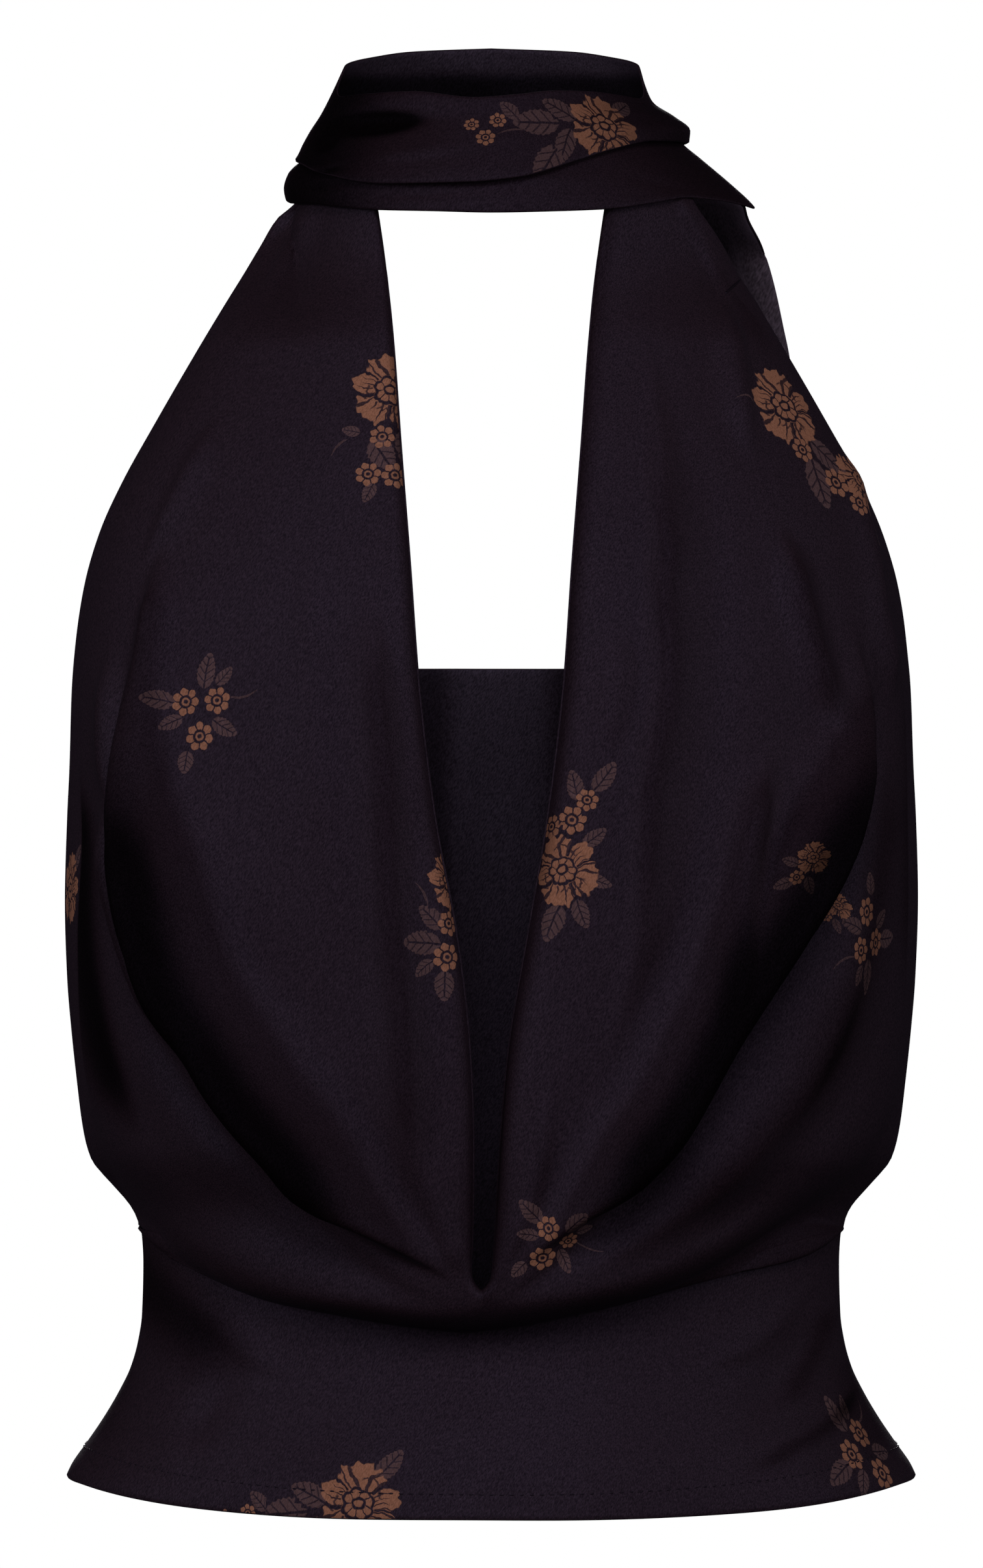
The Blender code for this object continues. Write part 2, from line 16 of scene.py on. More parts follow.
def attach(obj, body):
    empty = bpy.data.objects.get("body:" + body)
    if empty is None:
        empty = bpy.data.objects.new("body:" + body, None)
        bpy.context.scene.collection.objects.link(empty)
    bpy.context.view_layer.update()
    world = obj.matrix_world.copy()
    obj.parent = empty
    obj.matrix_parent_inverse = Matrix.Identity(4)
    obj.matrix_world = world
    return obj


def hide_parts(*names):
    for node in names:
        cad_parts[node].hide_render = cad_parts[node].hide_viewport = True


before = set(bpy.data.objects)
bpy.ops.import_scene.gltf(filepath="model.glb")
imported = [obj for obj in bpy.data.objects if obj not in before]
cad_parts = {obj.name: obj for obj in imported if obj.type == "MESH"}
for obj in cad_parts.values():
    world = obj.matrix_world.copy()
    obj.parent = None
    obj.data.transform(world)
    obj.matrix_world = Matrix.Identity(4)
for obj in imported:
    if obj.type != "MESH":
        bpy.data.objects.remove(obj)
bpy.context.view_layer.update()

bl_info = {
    "name": "Cowl Neck Top",
    "version": (1, 0, 0),
    "blender": (4, 5, 0),
    "location": "View3D > Sidebar > Cowl Top",
    "description": "Builds a draped satin halter top with a cowl neck, a neck scarf and its sewing",
    "category": "Object",
}

MM = 0.001
# The photograph's plane through the side seams: millimetres a pixel, its size, and the column and row at
# which the origin lies
PIXEL = 0.236
PHOTO_WIDE, PHOTO_TALL = 1512, 2411
MIDDLE_PIXEL, NECK_PIXEL = 755.0, 234.7

# Cloth and seams
WALL = 1.5
SEAM_GAP = 0.3
# The cowl meets the waist this far above the waist's own top edge
SEAM_LIFT = 2.4
# The overhang stays this far outside the waist's cloth
WAIST_CLEAR = 2.6
LAYER_STEP = WALL + 1.7

# The outlines of the front are taken from straight in front, this far away and this far down
EYE_DISTANCE = 2400.0
EYE_DROP = 229.0

# Levels. The front's top lies on the scarf's lower turn, and is free of it from FRONT_FREE down.
FRONT_TOP, FRONT_FREE = 8, 70
BACK_TOP = 186.0
WAIST_SEAM = 391.5
# The waist seam is this much lower in the middle of the front
WAIST_DIP = 24.0
HEM_SIDE = 479.3
HEM_FRONT_DIP = 4.8

# Half width of the top at each drop: the edge of the armhole above BACK_TOP, the side seam below. The two
# sides differ only beside the scarf.
SHARED_SIDES = (
    101.5, 112.6, 123.4, 133.8, 142.3, 147.7, 150.6, 152.2, 153.2, 154.1, 154.8, 153.9, 152.5, 150.6, 148.2,
    145.6, 137.8, 130, 127, 126.5, 127, 128.4, 131, 135.5, 141.1, 147.5, 152.5, 154.6,
)
SIDES = {
    "drop": (
        8, 17, 19, 21, 22.5, 34.3, 43.7, 53.2, 62.6, 81.5, 100.4, 119.2, 138.1, 157, 175.9, 194.8, 223, 242,
        270, 298.6, 317.5, 336.4, 355.2, 364.7, 374.1, 383.6, 393, 402.4, 421.3, 430.8, 440.2, 449.6, 459.1,
        468.5, 475.6, 480,
    ),
    "left": (68.5, 69.8, 71, 74.6, 76.7, 84.3, 89.9, 95.8, *SHARED_SIDES),
    "right": (70, 73.6, 74.6, 75.8, 77, 84.8, 89.6, 96, *SHARED_SIDES),
}

# How far the front stands forward of the side seams, in the middle and at its outer edge, and how
# square its corners are
FRONT = {
    "drop": (15, 39, 67, 107, 150, 195, 241, 285, 327, 360, 390, 415, 430),
    "middle": (67, 72, 80, 95, 108, 117, 123, 126, 126, 125, 122, 118, 112),
    "side": (26, 29, 32, 27, 13, 0, 0, 0, 0, 0, 0, 0, 0),
    "square": (2.0, 2.1, 2.3, 2.6, 2.8, 3.0, 3.0, 2.8, 2.5, 2.3, 2.2, 2.2, 2.2),
}
# How far the neckline's edge rolls in towards the wearer on each side, and how far the overhang rolls
# under at its lowest line
NECKLINE_ROLL = {
    "drop": (8, 60, 150, 220, 300, 380, 415),
    "left": (2, 2.5, 4, 5, 6, 6, 3),
    "right": (2, 2.5, 4, 8, 11, 9, 3),
}
OVERHANG_ROLL = 13.0
# The seam column's values between which the overhang's roll sets in
OVERHANG_START, OVERHANG_FULL = 300, 385
WAIST_FRONT = {"drop": (391, 412, 431, 450, 468, 484), "middle": (92, 91, 93, 98, 104, 107)}
BACK = {
    "drop": (186, 240, 290, 340, 391, 412, 431, 450, 468, 480),
    "middle": (88, 97, 97, 91, 82, 81, 84, 91, 100, 106),
}

# Sections across the cowl, from the neck to its lowest point. Each runs from the neckline edge, over
# the main valley and the crest that hangs lowest, to the seam. The seam column is a length along the
# armhole, side seam and waist seam, counted as a drop down to the waist corner.
COWL_COLUMNS = ("edge_x", "edge_drop", "valley_x", "valley_drop", "crest_x", "crest_drop", "seam")
COWL_LEFT = (
    (-41.5, 8, -56, 8, -65.5, 8, 8),
    (-39.6, 20, -59.5, 20.5, -69, 20, 20),
    (-36.9, 39, -67, 41, -84.3, 39, 39),
    (-34.2, 67, -83, 73, -101.2, 67.5, 67.5),
    (-31.4, 107, -104, 114, -124, 107.5, 107.5),
    (-28.1, 150, -120, 157, -142.3, 152, 150),
    (-24.8, 195, -131.5, 195, -149.4, 195, 195),
    (-19.1, 241, -130.5, 244, -150.8, 244, 244),
    (-11.1, 284, -116.5, 293, -150.3, 294, 294),
    (-6.2, 327, -93.5, 340, -145.1, 343.5, 343.5),
    (-5.0, 355, -74, 365, -137, 368, 368),
    (-5.0, 377, -54, 383, -124.6, 390, 391),
    (-5.4, 397, -28, 401, -84, 415.4, 454.5),
    (-5.8, 404, -17, 409, -55, 421.5, 476.5),
    (-5.3, 408.6, -9.5, 415, -30, 425.7, 494.5),
    (-3.6, 411.2, -4.2, 419, -9.9, 427.6, 514.5),
)
COWL_RIGHT = (
    (41.5, 8, 57, 8, 66, 8, 8),
    (39.6, 20, 60, 20, 70.5, 20, 20),
    (36.9, 39, 66, 40, 78.5, 38.5, 38.5),
    (34.2, 67, 81.5, 71, 100.5, 66.5, 66.5),
    (31.4, 107, 102.7, 114, 124, 107.5, 107.5),
    (28.1, 150, 120.4, 157, 142.3, 151, 150),
    (24.8, 195, 134.5, 196, 149, 195, 195),
    (19.1, 241, 121.5, 239, 150.6, 244, 244),
    (11.8, 284, 97, 284, 150.3, 294, 294),
    (4.6, 327, 71, 327.5, 146, 343.5, 343.5),
    (1.7, 360, 52, 361, 132, 369, 374),
    (0.5, 381, 37, 378, 111, 384, 391),
    (-0.7, 400, 15, 399, 60, 413, 474),
    (-1.2, 405.6, 8, 408, 35, 420, 491),
    (-2.0, 409.2, 1.0, 415, 10, 425.5, 507),
    (-3.6, 411.2, -4.2, 419, -9.9, 427.6, 514.5),
)
# The seam column's value in the middle of the waist, and the radius of the neckline's rolled edge
MIDDLE_RUN = COWL_LEFT[-1][-1]
ROLL_RADIUS = 2.0

# The largest folds of the cowl. Height is out of the cloth, and a valley's is negative. Inner is the
# half width on the neckline's side and outer on the other. Fades are the shares of the length over
# which a fold starts and ends. The path is x and drop. FALLOFF is how fast a fold, dent or crease falls
# away from its line, and END_WIDTH the share of its width that a fold has left at its ends.
FALLOFF = 1.6
END_WIDTH = 0.35
COWL_FOLDS = (
    ("left_valley", -28, 15, 6.5, 0.34, 0.25,
     ((-127, 171), (-128, 200), (-124, 240), (-116, 268), (-107, 298), (-89, 336), (-63, 369), (-38, 392),
      (-11.5, 409))),
    ("left_ridge", 4, 8, 14, 0.3, 0.2,
     ((-145, 180), (-148, 235), (-143, 265), (-130, 309), (-106, 350), (-72, 386.5), (-37, 411), (-16, 418))),
    ("left_side", -8, 8, 5, 0.3, 0.3, ((-140, 232), (-139, 255), (-132, 285), (-122, 310), (-108, 333))),
    ("left_chest", -8, 8, 6, 0.25, 0.4,
     ((-119, 141), (-120, 162), (-122, 180), (-122, 205), (-118, 235), (-110, 256))),
    ("left_neckline", -7, 6, 10, 0.2, 0.2,
     ((-43, 157), (-42, 187), (-38, 221), (-36.5, 262), (-32.5, 303), (-30, 343), (-26, 384))),
    ("left_strap", -4.5, 5, 6, 0.1, 0.6, ((-65.5, 19), (-69.6, 33), (-76, 43), (-84, 54))),
    ("right_valley", -27, 17, 4.5, 0.36, 0.25,
     ((131, 168), (133, 186), (133.5, 200), (128.5, 221), (122.5, 241), (111, 268), (94, 297), (80, 322), (65, 352),
      (50, 369), (29, 388), (9, 405))),
    ("right_ridge", 4, 6, 12, 0.3, 0.2,
     ((139, 171), (141, 194), (137, 214), (129, 236), (119, 263), (101, 298.5), (84, 325), (67, 353), (44, 386),
      (22, 405), (1, 420))),
    ("right_second", -10, 9, 5, 0.3, 0.3, ((103, 211), (94, 245), (87, 275), (79, 309), (74, 323))),
    ("right_long", -7, 4, 11, 0.3, 0.35,
     ((55.5, 67), (59, 97), (60, 119), (62, 146), (61, 162), (63, 194), (57, 225), (55, 256), (53, 282), (47, 309),
      (41, 332))),
    ("right_chest", -7.5, 4, 7, 0.25, 0.3,
     ((105, 136), (107.5, 149), (111.5, 168), (119.5, 195), (129, 212))),
    ("right_shoulder", -4.5, 7, 4, 0.3, 0.4, ((84.5, 52), (87, 65), (91, 92), (95, 114))),
    ("right_lower", -5, 12, 12, 0.35, 0.35,
     ((138, 251), (129, 287), (113, 329.5), (98, 350), (82, 370), (58, 390.5), (30, 407))),
)

# The scarf's two turns round the neck, as half widths to the left and right and depths to the front
# and back at each drop, outside
UPPER_TURN = {
    "drop": (-38, -32, -24, -18, -13, -8, -3, 2, 6, 10),
    "left": (50.2, 53.3, 57, 59.9, 62.6, 65.9, 68.7, 71.2, 76, 79),
    "right": (50.6, 53.9, 56.4, 59.2, 66.8, 72.6, 72.2, 73, 74, 75),
    "front": (55, 57, 61, 63.5, 65.5, 68, 70.5, 73, 75, 76.5),
    "back": (50, 52, 55, 57, 59, 61, 62.5, 64, 65, 66),
}
LOWER_TURN = {
    "drop": (-8, -3, 2, 5, 8, 13, 18, 21),
    "left": (61, 64, 67.5, 71.6, 74.2, 75.6, 74.6, 73.4),
    "right": (66, 70, 76, 79.6, 83.2, 89, 94.4, 97),
    "front": (62, 65, 68, 69.5, 71, 73, 74.5, 75),
    "back": (55.5, 58, 60.5, 62, 63.5, 65.5, 68, 69),
}
# The top and bottom edge of each turn at each angle from the front, where 90 is the right side
UPPER_EDGES = {
    "angle": (-180, -144, -122, -100, -91, -82, -70, -52, -29, -6, 8, 25, 38, 55, 70, 82, 91, 100, 122, 144, 180),
    "top": (-37.6, -36.4, -34.4, -32.4, -31.2, -24, -20.2, -21.2, -22.1, -20, -20.9, -22.4, -22.1, -20.7, -19.5, -23,
            -31.2, -32.4, -34.4, -36.4, -37.6),
    "bottom": (2, 2, 2, 2, 2.2, 2.9, 4, 7.4, 10.8, 10.2, 8.4, 2.6, -1.5, -4.6, -4.4, -3.9, -3.9, -3.4, -2, 1, 2),
}
LOWER_EDGES = {
    "angle": (-180, -130, -92, -80, -62, -49, -34, -17, 0, 15, 26, 39, 51, 61, 82, 92, 130, 180),
    "top": (-4, -4, -5, -4.5, -3, -1, 0.5, 1, 0.5, -2, -5, -7, -8, -8, -8, -8, -6, -4),
    "bottom": (12, 12, 16.5, 18, 18.3, 19.4, 20.4, 20.8, 21.3, 20.8, 20.1, 17.8, 15.9, 16.8, 19.4, 20, 14, 12),
}

# The end of the scarf that falls down the back, as sections at each drop: how far it stands out from
# the turn that holds it, and how far it has moved back
TAIL_START, TAIL_END = 88.0, 150.0
TAIL_HELD = 20.0
# How far back its outer edge swings, so that it faces forward beside the strap
TAIL_FLARE = 26.0
TAIL = {
    "drop": (4, 20, 34, 44, 63, 77, 110, 145, 176),
    "out": (0, 0, 5.8, 9, 13, 15.5, 17, 17, 16),
    "back": (0, 0, 1, 2, 6, 9, 14, 18, 22),
}

# Soft upright folds of the back: x in the middle of the fold, height, half width
BACK_FOLDS = ((-88, -3.5, 14), (-48, 2.5, 13), (-14, -3.0, 10), (22, 2.5, 12), (60, -3.5, 14), (100, 2.5, 12))

# Fine folds of the cowl that are too small for the solids, written as COWL_FOLDS are
FINE_FOLDS = (
    ("left_turn", -7, 20, 10, 0.4, 0.4, ((-104, 288), (-94, 312), (-80, 340), (-58, 366), (-38, 384))),
    ("left_panel_edge", -11, 3.2, 11, 0.4, 0.4,
     ((-119, 226), (-115, 252), (-110, 280), (-105, 305), (-98, 330), (-90, 348))),
    ("left_upper_side", -5, 6, 5, 0.4, 0.4, ((-138, 176), (-138.5, 198), (-138, 222), (-136, 248))),
    ("right_neckline", -2.2, 6, 7, 0.3, 0.4, ((47, 172), (46, 186), (43.5, 202), (41, 222))),
    ("right_side_turn", -3.4, 5, 3, 0.2, 0.2,
     ((125.8, 105), (132.4, 128), (137.6, 146), (141, 168), (144, 181), (146, 200))),
    ("right_side_crease", -1.0, 3, 2, 0.3, 0.3, ((136, 241), (133, 262), (128.6, 287))),
    ("right_strap_fold", -1.6, 2.5, 4, 0.1, 0.3, ((67, 14), (73, 27), (79, 39), (84.5, 51), (87, 62))),
    ("right_strap_edge", 0.9, 3, 3, 0.15, 0.3, ((71, 16), (78, 28), (85, 40), (91, 52))),
    ("left_inner", -2.4, 7, 5, 0.4, 0.4, ((-64, 120), (-66, 165), (-64, 215), (-58, 262), (-50, 300))),
    ("left_soft_ridge", 1.5, 10, 10, 0.4, 0.4, ((-88, 96), (-92, 140), (-93, 190), (-88, 240), (-74, 292))),
    ("left_shoulder", -2.8, 7, 4, 0.3, 0.4, ((-99, 96), (-110, 118), (-118, 134), (-128, 152))),
    ("right_soft_ridge", 1.6, 10, 9, 0.4, 0.4, ((76, 90), (80, 130), (82, 180), (76, 230), (66, 280), (54, 320))),
    ("left_swag", -1.8, 7, 7, 0.4, 0.3, ((-138, 300), (-122, 336), (-98, 366), (-70, 390), (-42, 407))),
    ("left_low_swag", 1.0, 6, 6, 0.4, 0.3, ((-150, 262), (-146, 300), (-134, 338), (-112, 372), (-84, 398))),
    ("right_swag", -1.8, 7, 6, 0.4, 0.3, ((143, 262), (133, 300), (118, 332), (98, 358), (70, 382), (42, 402))),
    ("right_low_swag", 1.0, 6, 6, 0.4, 0.3, ((150, 255), (146, 290), (138, 325), (118, 356), (90, 384), (62, 404))),
    ("left_throat", -1.4, 5, 5, 0.4, 0.2, ((-27, 352), (-21, 378), (-15, 396), (-9.5, 408))),
    ("right_throat", -1.4, 4, 5, 0.4, 0.2, ((22, 330), (18, 360), (13, 384), (6, 402))),
    ("right_hollow", -2.2, 8, 9, 0.4, 0.4, ((66, 330), (58, 346), (50, 356), (36, 370))),
)
# Where the cowl is turned from the light, written as COWL_FOLDS are with a share of darkness for the height
SHADES = (
    ("left_side", 0.85, 6, 12, 0.2, 0.25,
     ((-151, 215), (-151, 250), (-149, 285), (-143, 318), (-133, 346), (-120, 368))),
    ("left_low", 0.35, 8, 10, 0.3, 0.3, ((-136, 372), (-112, 394), (-84, 408), (-50, 418), (-16, 424), (-6, 424))),
    ("right_side", 0.45, 4, 10, 0.3, 0.3, ((148, 168), (151, 200), (152, 240), (151, 280), (148, 320))),
    ("right_flank", 0.5, 6, 9, 0.25, 0.3, ((146, 205), (143, 245), (137, 285), (127, 318), (113, 345), (96, 366))),
    ("right_low", 0.35, 8, 10, 0.3, 0.3, ((136, 362), (112, 386), (84, 400), (50, 414), (16, 423), (4, 424))),
    ("right_strap", 0.3, 6, 6, 0.2, 0.4, ((74, 22), (84, 42), (96, 64), (108, 88))),
)
# On each side, how far the painted shade beside the neckline's edge reaches and its strength, and at what depth a
# valley's painted shade sets in and is darkest. A small fold gets a little painted shade from SMALL_FOLD on, and the
# cloth's inner side has INNER_SHADE of the outer's painted shade, and the part turned under the overhang UNDER_SHADE.
SMALL_FOLD, SMALL_FOLD_SHADE = (1.5, 7), 0.45
INNER_SHADE, UNDER_SHADE = 0.3, 0.4
EDGE_SHADE = {"left": (4, 0.35), "right": (9, 0.5)}
VALLEY_SHADE = {"left": (13, 33), "right": (9, 27)}
# Painted shade on the waist, written as SHADES are
WAIST_SHADES = (
    ("left_corner", 0.7, 20, 24, 0.1, 0.4, ((-146, 392), (-124, 408), (-108, 420), (-92, 429), (-70, 436))),
    ("left_end", 0.35, 10, 12, 0.3, 0.3, ((-130, 430), (-136, 450), (-144, 470))),
    ("right_corner", 0.5, 7, 7, 0.2, 0.3, ((124, 414), (116, 430), (107, 444), (98, 452))),
    ("right_crease", 0.55, 4, 5, 0.2, 0.4, ((134, 444), (122, 455), (108, 462), (92, 469), (80, 474))),
    ("right_end", 0.4, 12, 12, 0.3, 0.3, ((128, 424), (130, 444), (138, 464), (146, 478))),
)
# Soft dents and creases of the scarf's turns in front: x, drop, half length, half height, tilt in degrees
# and depth into the cloth
UPPER_DENTS = (
    (-40, -10.5, 22, 5.8, -5, 6.4), (-60, -2.5, 6, 4.0, -25, 3.6), (-58, 6.6, 9, 2.2, -16, 2.6),
    (-34, 0.5, 24, 3.4, -8, -1.4), (22, -9, 26, 4.0, 6, 0.7), (58, -10, 10, 2.6, 24, 1.6), (64, -2, 12, 1.8, 4, 1.6),
)
LOWER_DENTS = (
    (-62, 13.0, 9, 2.6, -12, 1.8), (-30, 15.5, 22, 2.2, -3, 0.7), (62, 12.0, 16, 2.4, 14, 1.0),
    (72, 5.0, 10, 1.6, 22, -0.8), (10, 9.0, 30, 2.6, 2, -0.5),
)
# Creases of the fitted waist, written as COWL_FOLDS are
WAIST_FOLDS = (
    ("right_high", 2.4, 8, 5, 0.4, 0.4, ((118, 404), (104, 418), (90, 428), (70, 436))),
    ("right_middle", -2.8, 9, 6, 0.4, 0.4, ((124, 418), (110, 430), (98, 443), (88, 462))),
    ("right_low", 2.2, 8, 7, 0.4, 0.4, ((136, 436), (122, 447), (112, 460), (106, 478))),
    ("left_high", 2.0, 7, 6, 0.4, 0.4, ((-116, 406), (-100, 418), (-84, 430), (-62, 438))),
    ("left_middle", -2.6, 7, 8, 0.4, 0.4, ((-84, 431), (-94, 444), (-104, 458), (-108, 470))),
    ("left_low", 1.8, 8, 7, 0.4, 0.4, ((-126, 438), (-118, 452), (-112, 466), (-110, 480))),
    ("middle_ripple", -0.8, 12, 12, 0.4, 0.4, ((-20, 442), (-14, 456), (-12, 470), (-14, 484))),
)

# How finely each cloth is divided
COWL_ACROSS = 300
ROLL_COLUMNS = 4
EDGE_TO_VALLEY = 42
VALLEY_TO_CREST = 34
CREST_TO_SEAM = 16
TURN_ROUND, TURN_DOWN = 240, 26
TAIL_ACROSS, TAIL_ROWS = 60, 110
BACK_ACROSS, BACK_ROWS = 180, 120
WAIST_ACROSS, WAIST_ROWS = 170, 56
# A rim stands out by this share of the cloth's thickness
RIM_BULGE = 0.42

# The print's shapes, the coordinate of a face that has none, and how far from its middle a sprig reaches.
# Each shape is drawn a little further out than its own size, for its uneven edge.
SHAPES = ("bloom", "daisy", "leaf")
AWAY = 9.0
PRINT_REACH = 62.0
SHAPE_MARGIN, SHAPE_ROOM = 1.12, 1.9
# The cloth round a sprig's middle that gives its outward direction
FLAT_REACH = 9.0
# Sprigs of the print. A bloom or daisy is x, y, radius and turn in degrees, and a leaf is x, y, half length,
# half width, turn and bend. A very narrow leaf is a stem.
SPRAY = {
    "bloom": ((0, 0, 16.5, 20), (29, -27, 13, 70)),
    "daisy": ((0.7, -17.4, 5, 10), (13.2, -29.5, 6, 25), (21.5, -37.5, 5, 5)),
    "leaf": ((3.6, -30.5, 10, 7, -88, 0.08), (14, -19.5, 9.5, 6.5, -38, 0.1), (33, -42, 9, 5.4, -60, -0.1),
        (-19, 3, 4, 0.5, 165, 0.5)),
}
BRANCH = {
    "bloom": ((0, 0, 15, 0),),
    "daisy": ((-45, 0.5, 3.6, 0), (-39, 6.5, 3.2, 30), (-48, 7.5, 2.8, 15)),
    "leaf": ((-26.5, -14.5, 9.8, 6, -130, 0.1), (-26, 3, 8.6, 6.6, 170, -0.05),
        (-18, -7.5, 8, 4.6, -118, 0.12), (-16, 7.5, 7, 4.8, 140, 0.1), (-34, 9.5, 4.6, 3.2, 120, 0.1),
        (-35, 1.5, 6, 0.5, 176, 0.4), (13, 10.5, 6.5, 4.2, 35, 0.1)),
}
POSY = {
    "daisy": ((-5.6, 3.6, 5.2, 0), (6.2, 4, 5, 20), (0.4, -8.6, 5.4, 40)),
    "leaf": ((-15.6, 4.2, 6.6, 4.2, 172, 0.1), (1.6, 14.6, 6.6, 4.2, 82, -0.1),
        (-4.2, -17.8, 4.2, 3.4, -95, 0), (9.4, -5.6, 5.4, 3.6, -30, 0.1), (16, 5.2, 6.2, 0.5, 12, 0.6),
        (-10.5, -4, 4.6, 3.2, -150, 0.1), (8.4, 12.6, 4.2, 2.8, 50, 0.1)),
}
PIECE = {
    "bloom": ((3, 4, 8.5, 20),),
    "daisy": ((-3.4, -5.6, 3.8, 0),),
    "leaf": ((-9.4, -8.6, 5, 3.6, -160, 0.1), (-7.4, 2.4, 4.4, 3, 160, 0.1), (3, -9.6, 4.6, 3, -70, 0.1)),
}
LEFT_EDGE = {
    "bloom": ((0, 0, 15, 12),),
    "daisy": ((-10.6, -31, 4.6, 0), (-1.6, -32.5, 5, 20), (-4.6, -17.6, 4.6, 40)),
    "leaf": ((-5.2, -24.4, 7, 5.6, -66, 0.1), (3.4, -21, 7, 5, -100, 0.1), (-15, -14, 3.4, 2.6, 160, 0),
        (-19.6, -18.6, 5, 0.5, -140, 0.5), (-11, -38, 4, 2.8, -120, 0)),
}
LOW_EDGE = {
    "bloom": ((6, 22, 11, 30),),
    "daisy": ((1.6, -4.6, 5.2, 0), (2.8, 7, 4.6, 25)),
    "leaf": ((-7.4, 0.6, 7, 5.4, 176, 0.1), (-3.6, 9.4, 5.6, 3.8, 130, 0.1), (0.6, -14.6, 5.4, 4.2, -92, 0),
        (-5.4, 17, 5.4, 0.5, 110, 0.5), (-6.4, -8.4, 4.2, 3, -140, 0.1)),
}
RIGHT_EDGE = {
    "bloom": ((0, 0, 13.5, 50),),
    "daisy": ((2.6, 17.4, 5.2, 10), (-5.4, 15.4, 4.4, 10), (7.4, 24.6, 4, 10)),
    "leaf": ((13, 33, 6.4, 3.8, 58, 0.1), (3.2, 29.6, 5.6, 3.6, 104, 0.1), (10.6, 12, 5, 3.2, 40, 0.1),
        (-3.2, -18.4, 7, 5, -112, 0.1), (6.6, -15.2, 5.4, 3.6, -70, 0.1), (12.6, -3.6, 5, 3, -20, 0.1)),
}
# Where the sprigs lie: cloth, sprig, photo column and row of its middle, turn in degrees and size. Those
# of the back are as seen from behind.
PLACES = (
    ("scarf_upper_turn", BRANCH, 932, 184, 0, 1.0),
    ("cowl_front", SPRAY, 1216, 617, 0, 1.0),
    ("cowl_front", LEFT_EDGE, 608, 600, 0, 1.0),
    ("cowl_front", POSY, 304, 1096, 0, 1.0),
    ("cowl_front", LOW_EDGE, 690, 1452, 0, 1.0),
    ("cowl_front", RIGHT_EDGE, 856, 1330, 0, 1.0),
    ("cowl_front", PIECE, 1228, 1330, 0, 0.78),
    ("cowl_front", POSY, 1340, 1440, 190, 1.0),
    ("cowl_front", POSY, 856, 1922, -40, 0.85),
    ("cowl_front", BRANCH, 84, 1364, 10, 0.9),
    ("waist_front", BRANCH, 545, 2304, 14, 1.05),
    ("waist_front", POSY, 1338, 2226, 30, 1.2),
)
BACK_PLACES = (
    ("back", POSY, -96, 232, 15, 1.0), ("back", SPRAY, 66, 262, 20, 0.95), ("back", BRANCH, -50, 330, -12, 0.95),
    ("back", POSY, 108, 356, -20, 1.0), ("back", SPRAY, -98, 412, 30, 0.9), ("back", BRANCH, 60, 440, 8, 0.95),
)

# Finishes: the setting that holds the colour, roughness, grain of the threads in metres, relief, sheen,
# gloss and the gloss's tint. The printed satin's roughness and gloss are settings too.
FINISHES = {
    "printed_satin": ("satin", None, 0.00036, 0.35, 0.0, None, (0.6, 0.56, 1.0)),
    "satin_inside": ("inside", 0.78, 0.00045, 0.25, 0.0, 0.55, (0.72, 0.62, 1.0)),
    "scarf_reverse": ("reverse", 0.75, 0.0008, 0.7, 0.5, 0.5, (0.85, 0.72, 1.0)),
    "sewing_thread": ("thread", 0.6, 0.0002, 0.4, 0.0, 0.35, (0.8, 0.6, 1.0)),
}
# The finishes of the satin's outer and inner side
SATIN = ("printed_satin", "satin_inside")
# How much of its light the deepest point of a fold loses, and the colour that half shade leans to
DARKEST = 0.88
HALF_SHADE = (0.0042, 0.0007, 0.0011)
# Heights in metres of the threads and of the cloth's soft ripples
THREAD_HEIGHT = 0.00025
RIPPLE_HEIGHT = 0.0016

# A stitch dips into the cloth by this share of its thickness at its ends, and stands this far out of it
STITCH_DIP, STITCH_RISE = 0.9, 0.1
# The seam at the strap: the photo column and row of its two ends, its points, half width and height
STRAP_SEAM = ((1115, 451), (1138, 430))
STRAP_POINTS = 14
STRAP_RIDGE = (0.5, 0.3)

# The stage in metres: the radii of the floor and backdrop, the room's colour and strength, and the lamps
FLOOR_RADIUS, BACKDROP_RADIUS = 1.1, 9.0
ROOM_COLOUR, ROOM_STRENGTH = (0.9, 0.9, 1.0, 1.0), 0.012
SENSOR = 36
# Each lamp's place, diameter, the setting that holds its power and its share of it
LAMPS = {
    "key": ((0.1, -2.5, 1.1), 1.4, "key", 1),
    "front": ((-0.2, -2.8, -0.1), 1.2, "fill", 1),
    "left": ((-2.4, -1.3, 0.3), 1.2, "fill", 3),
    "right": ((2.5, -1.0, 0.2), 1.2, "fill", 2),
    "behind": ((0.0, 3.0, 0.5), 0.7, "back", 1),
}


def curve(first, leave, last, arrive, t):
    """The point at t of a curve from first to last, with its speeds at both ends."""
    return (first * (1 + 2 * t) * (1 - t) ** 2 + leave * t * (1 - t) ** 2
            + last * t * t * (3 - 2 * t) + arrive * t * t * (t - 1))


def unit(vectors):
    """The vectors made one long."""
    return vectors / np.maximum(np.linalg.norm(vectors, axis=-1, keepdims=True), 1e-9)


def running(lengths):
    """The length so far at the end of each step, from 0."""
    return np.concatenate([[0], np.cumsum(lengths)])


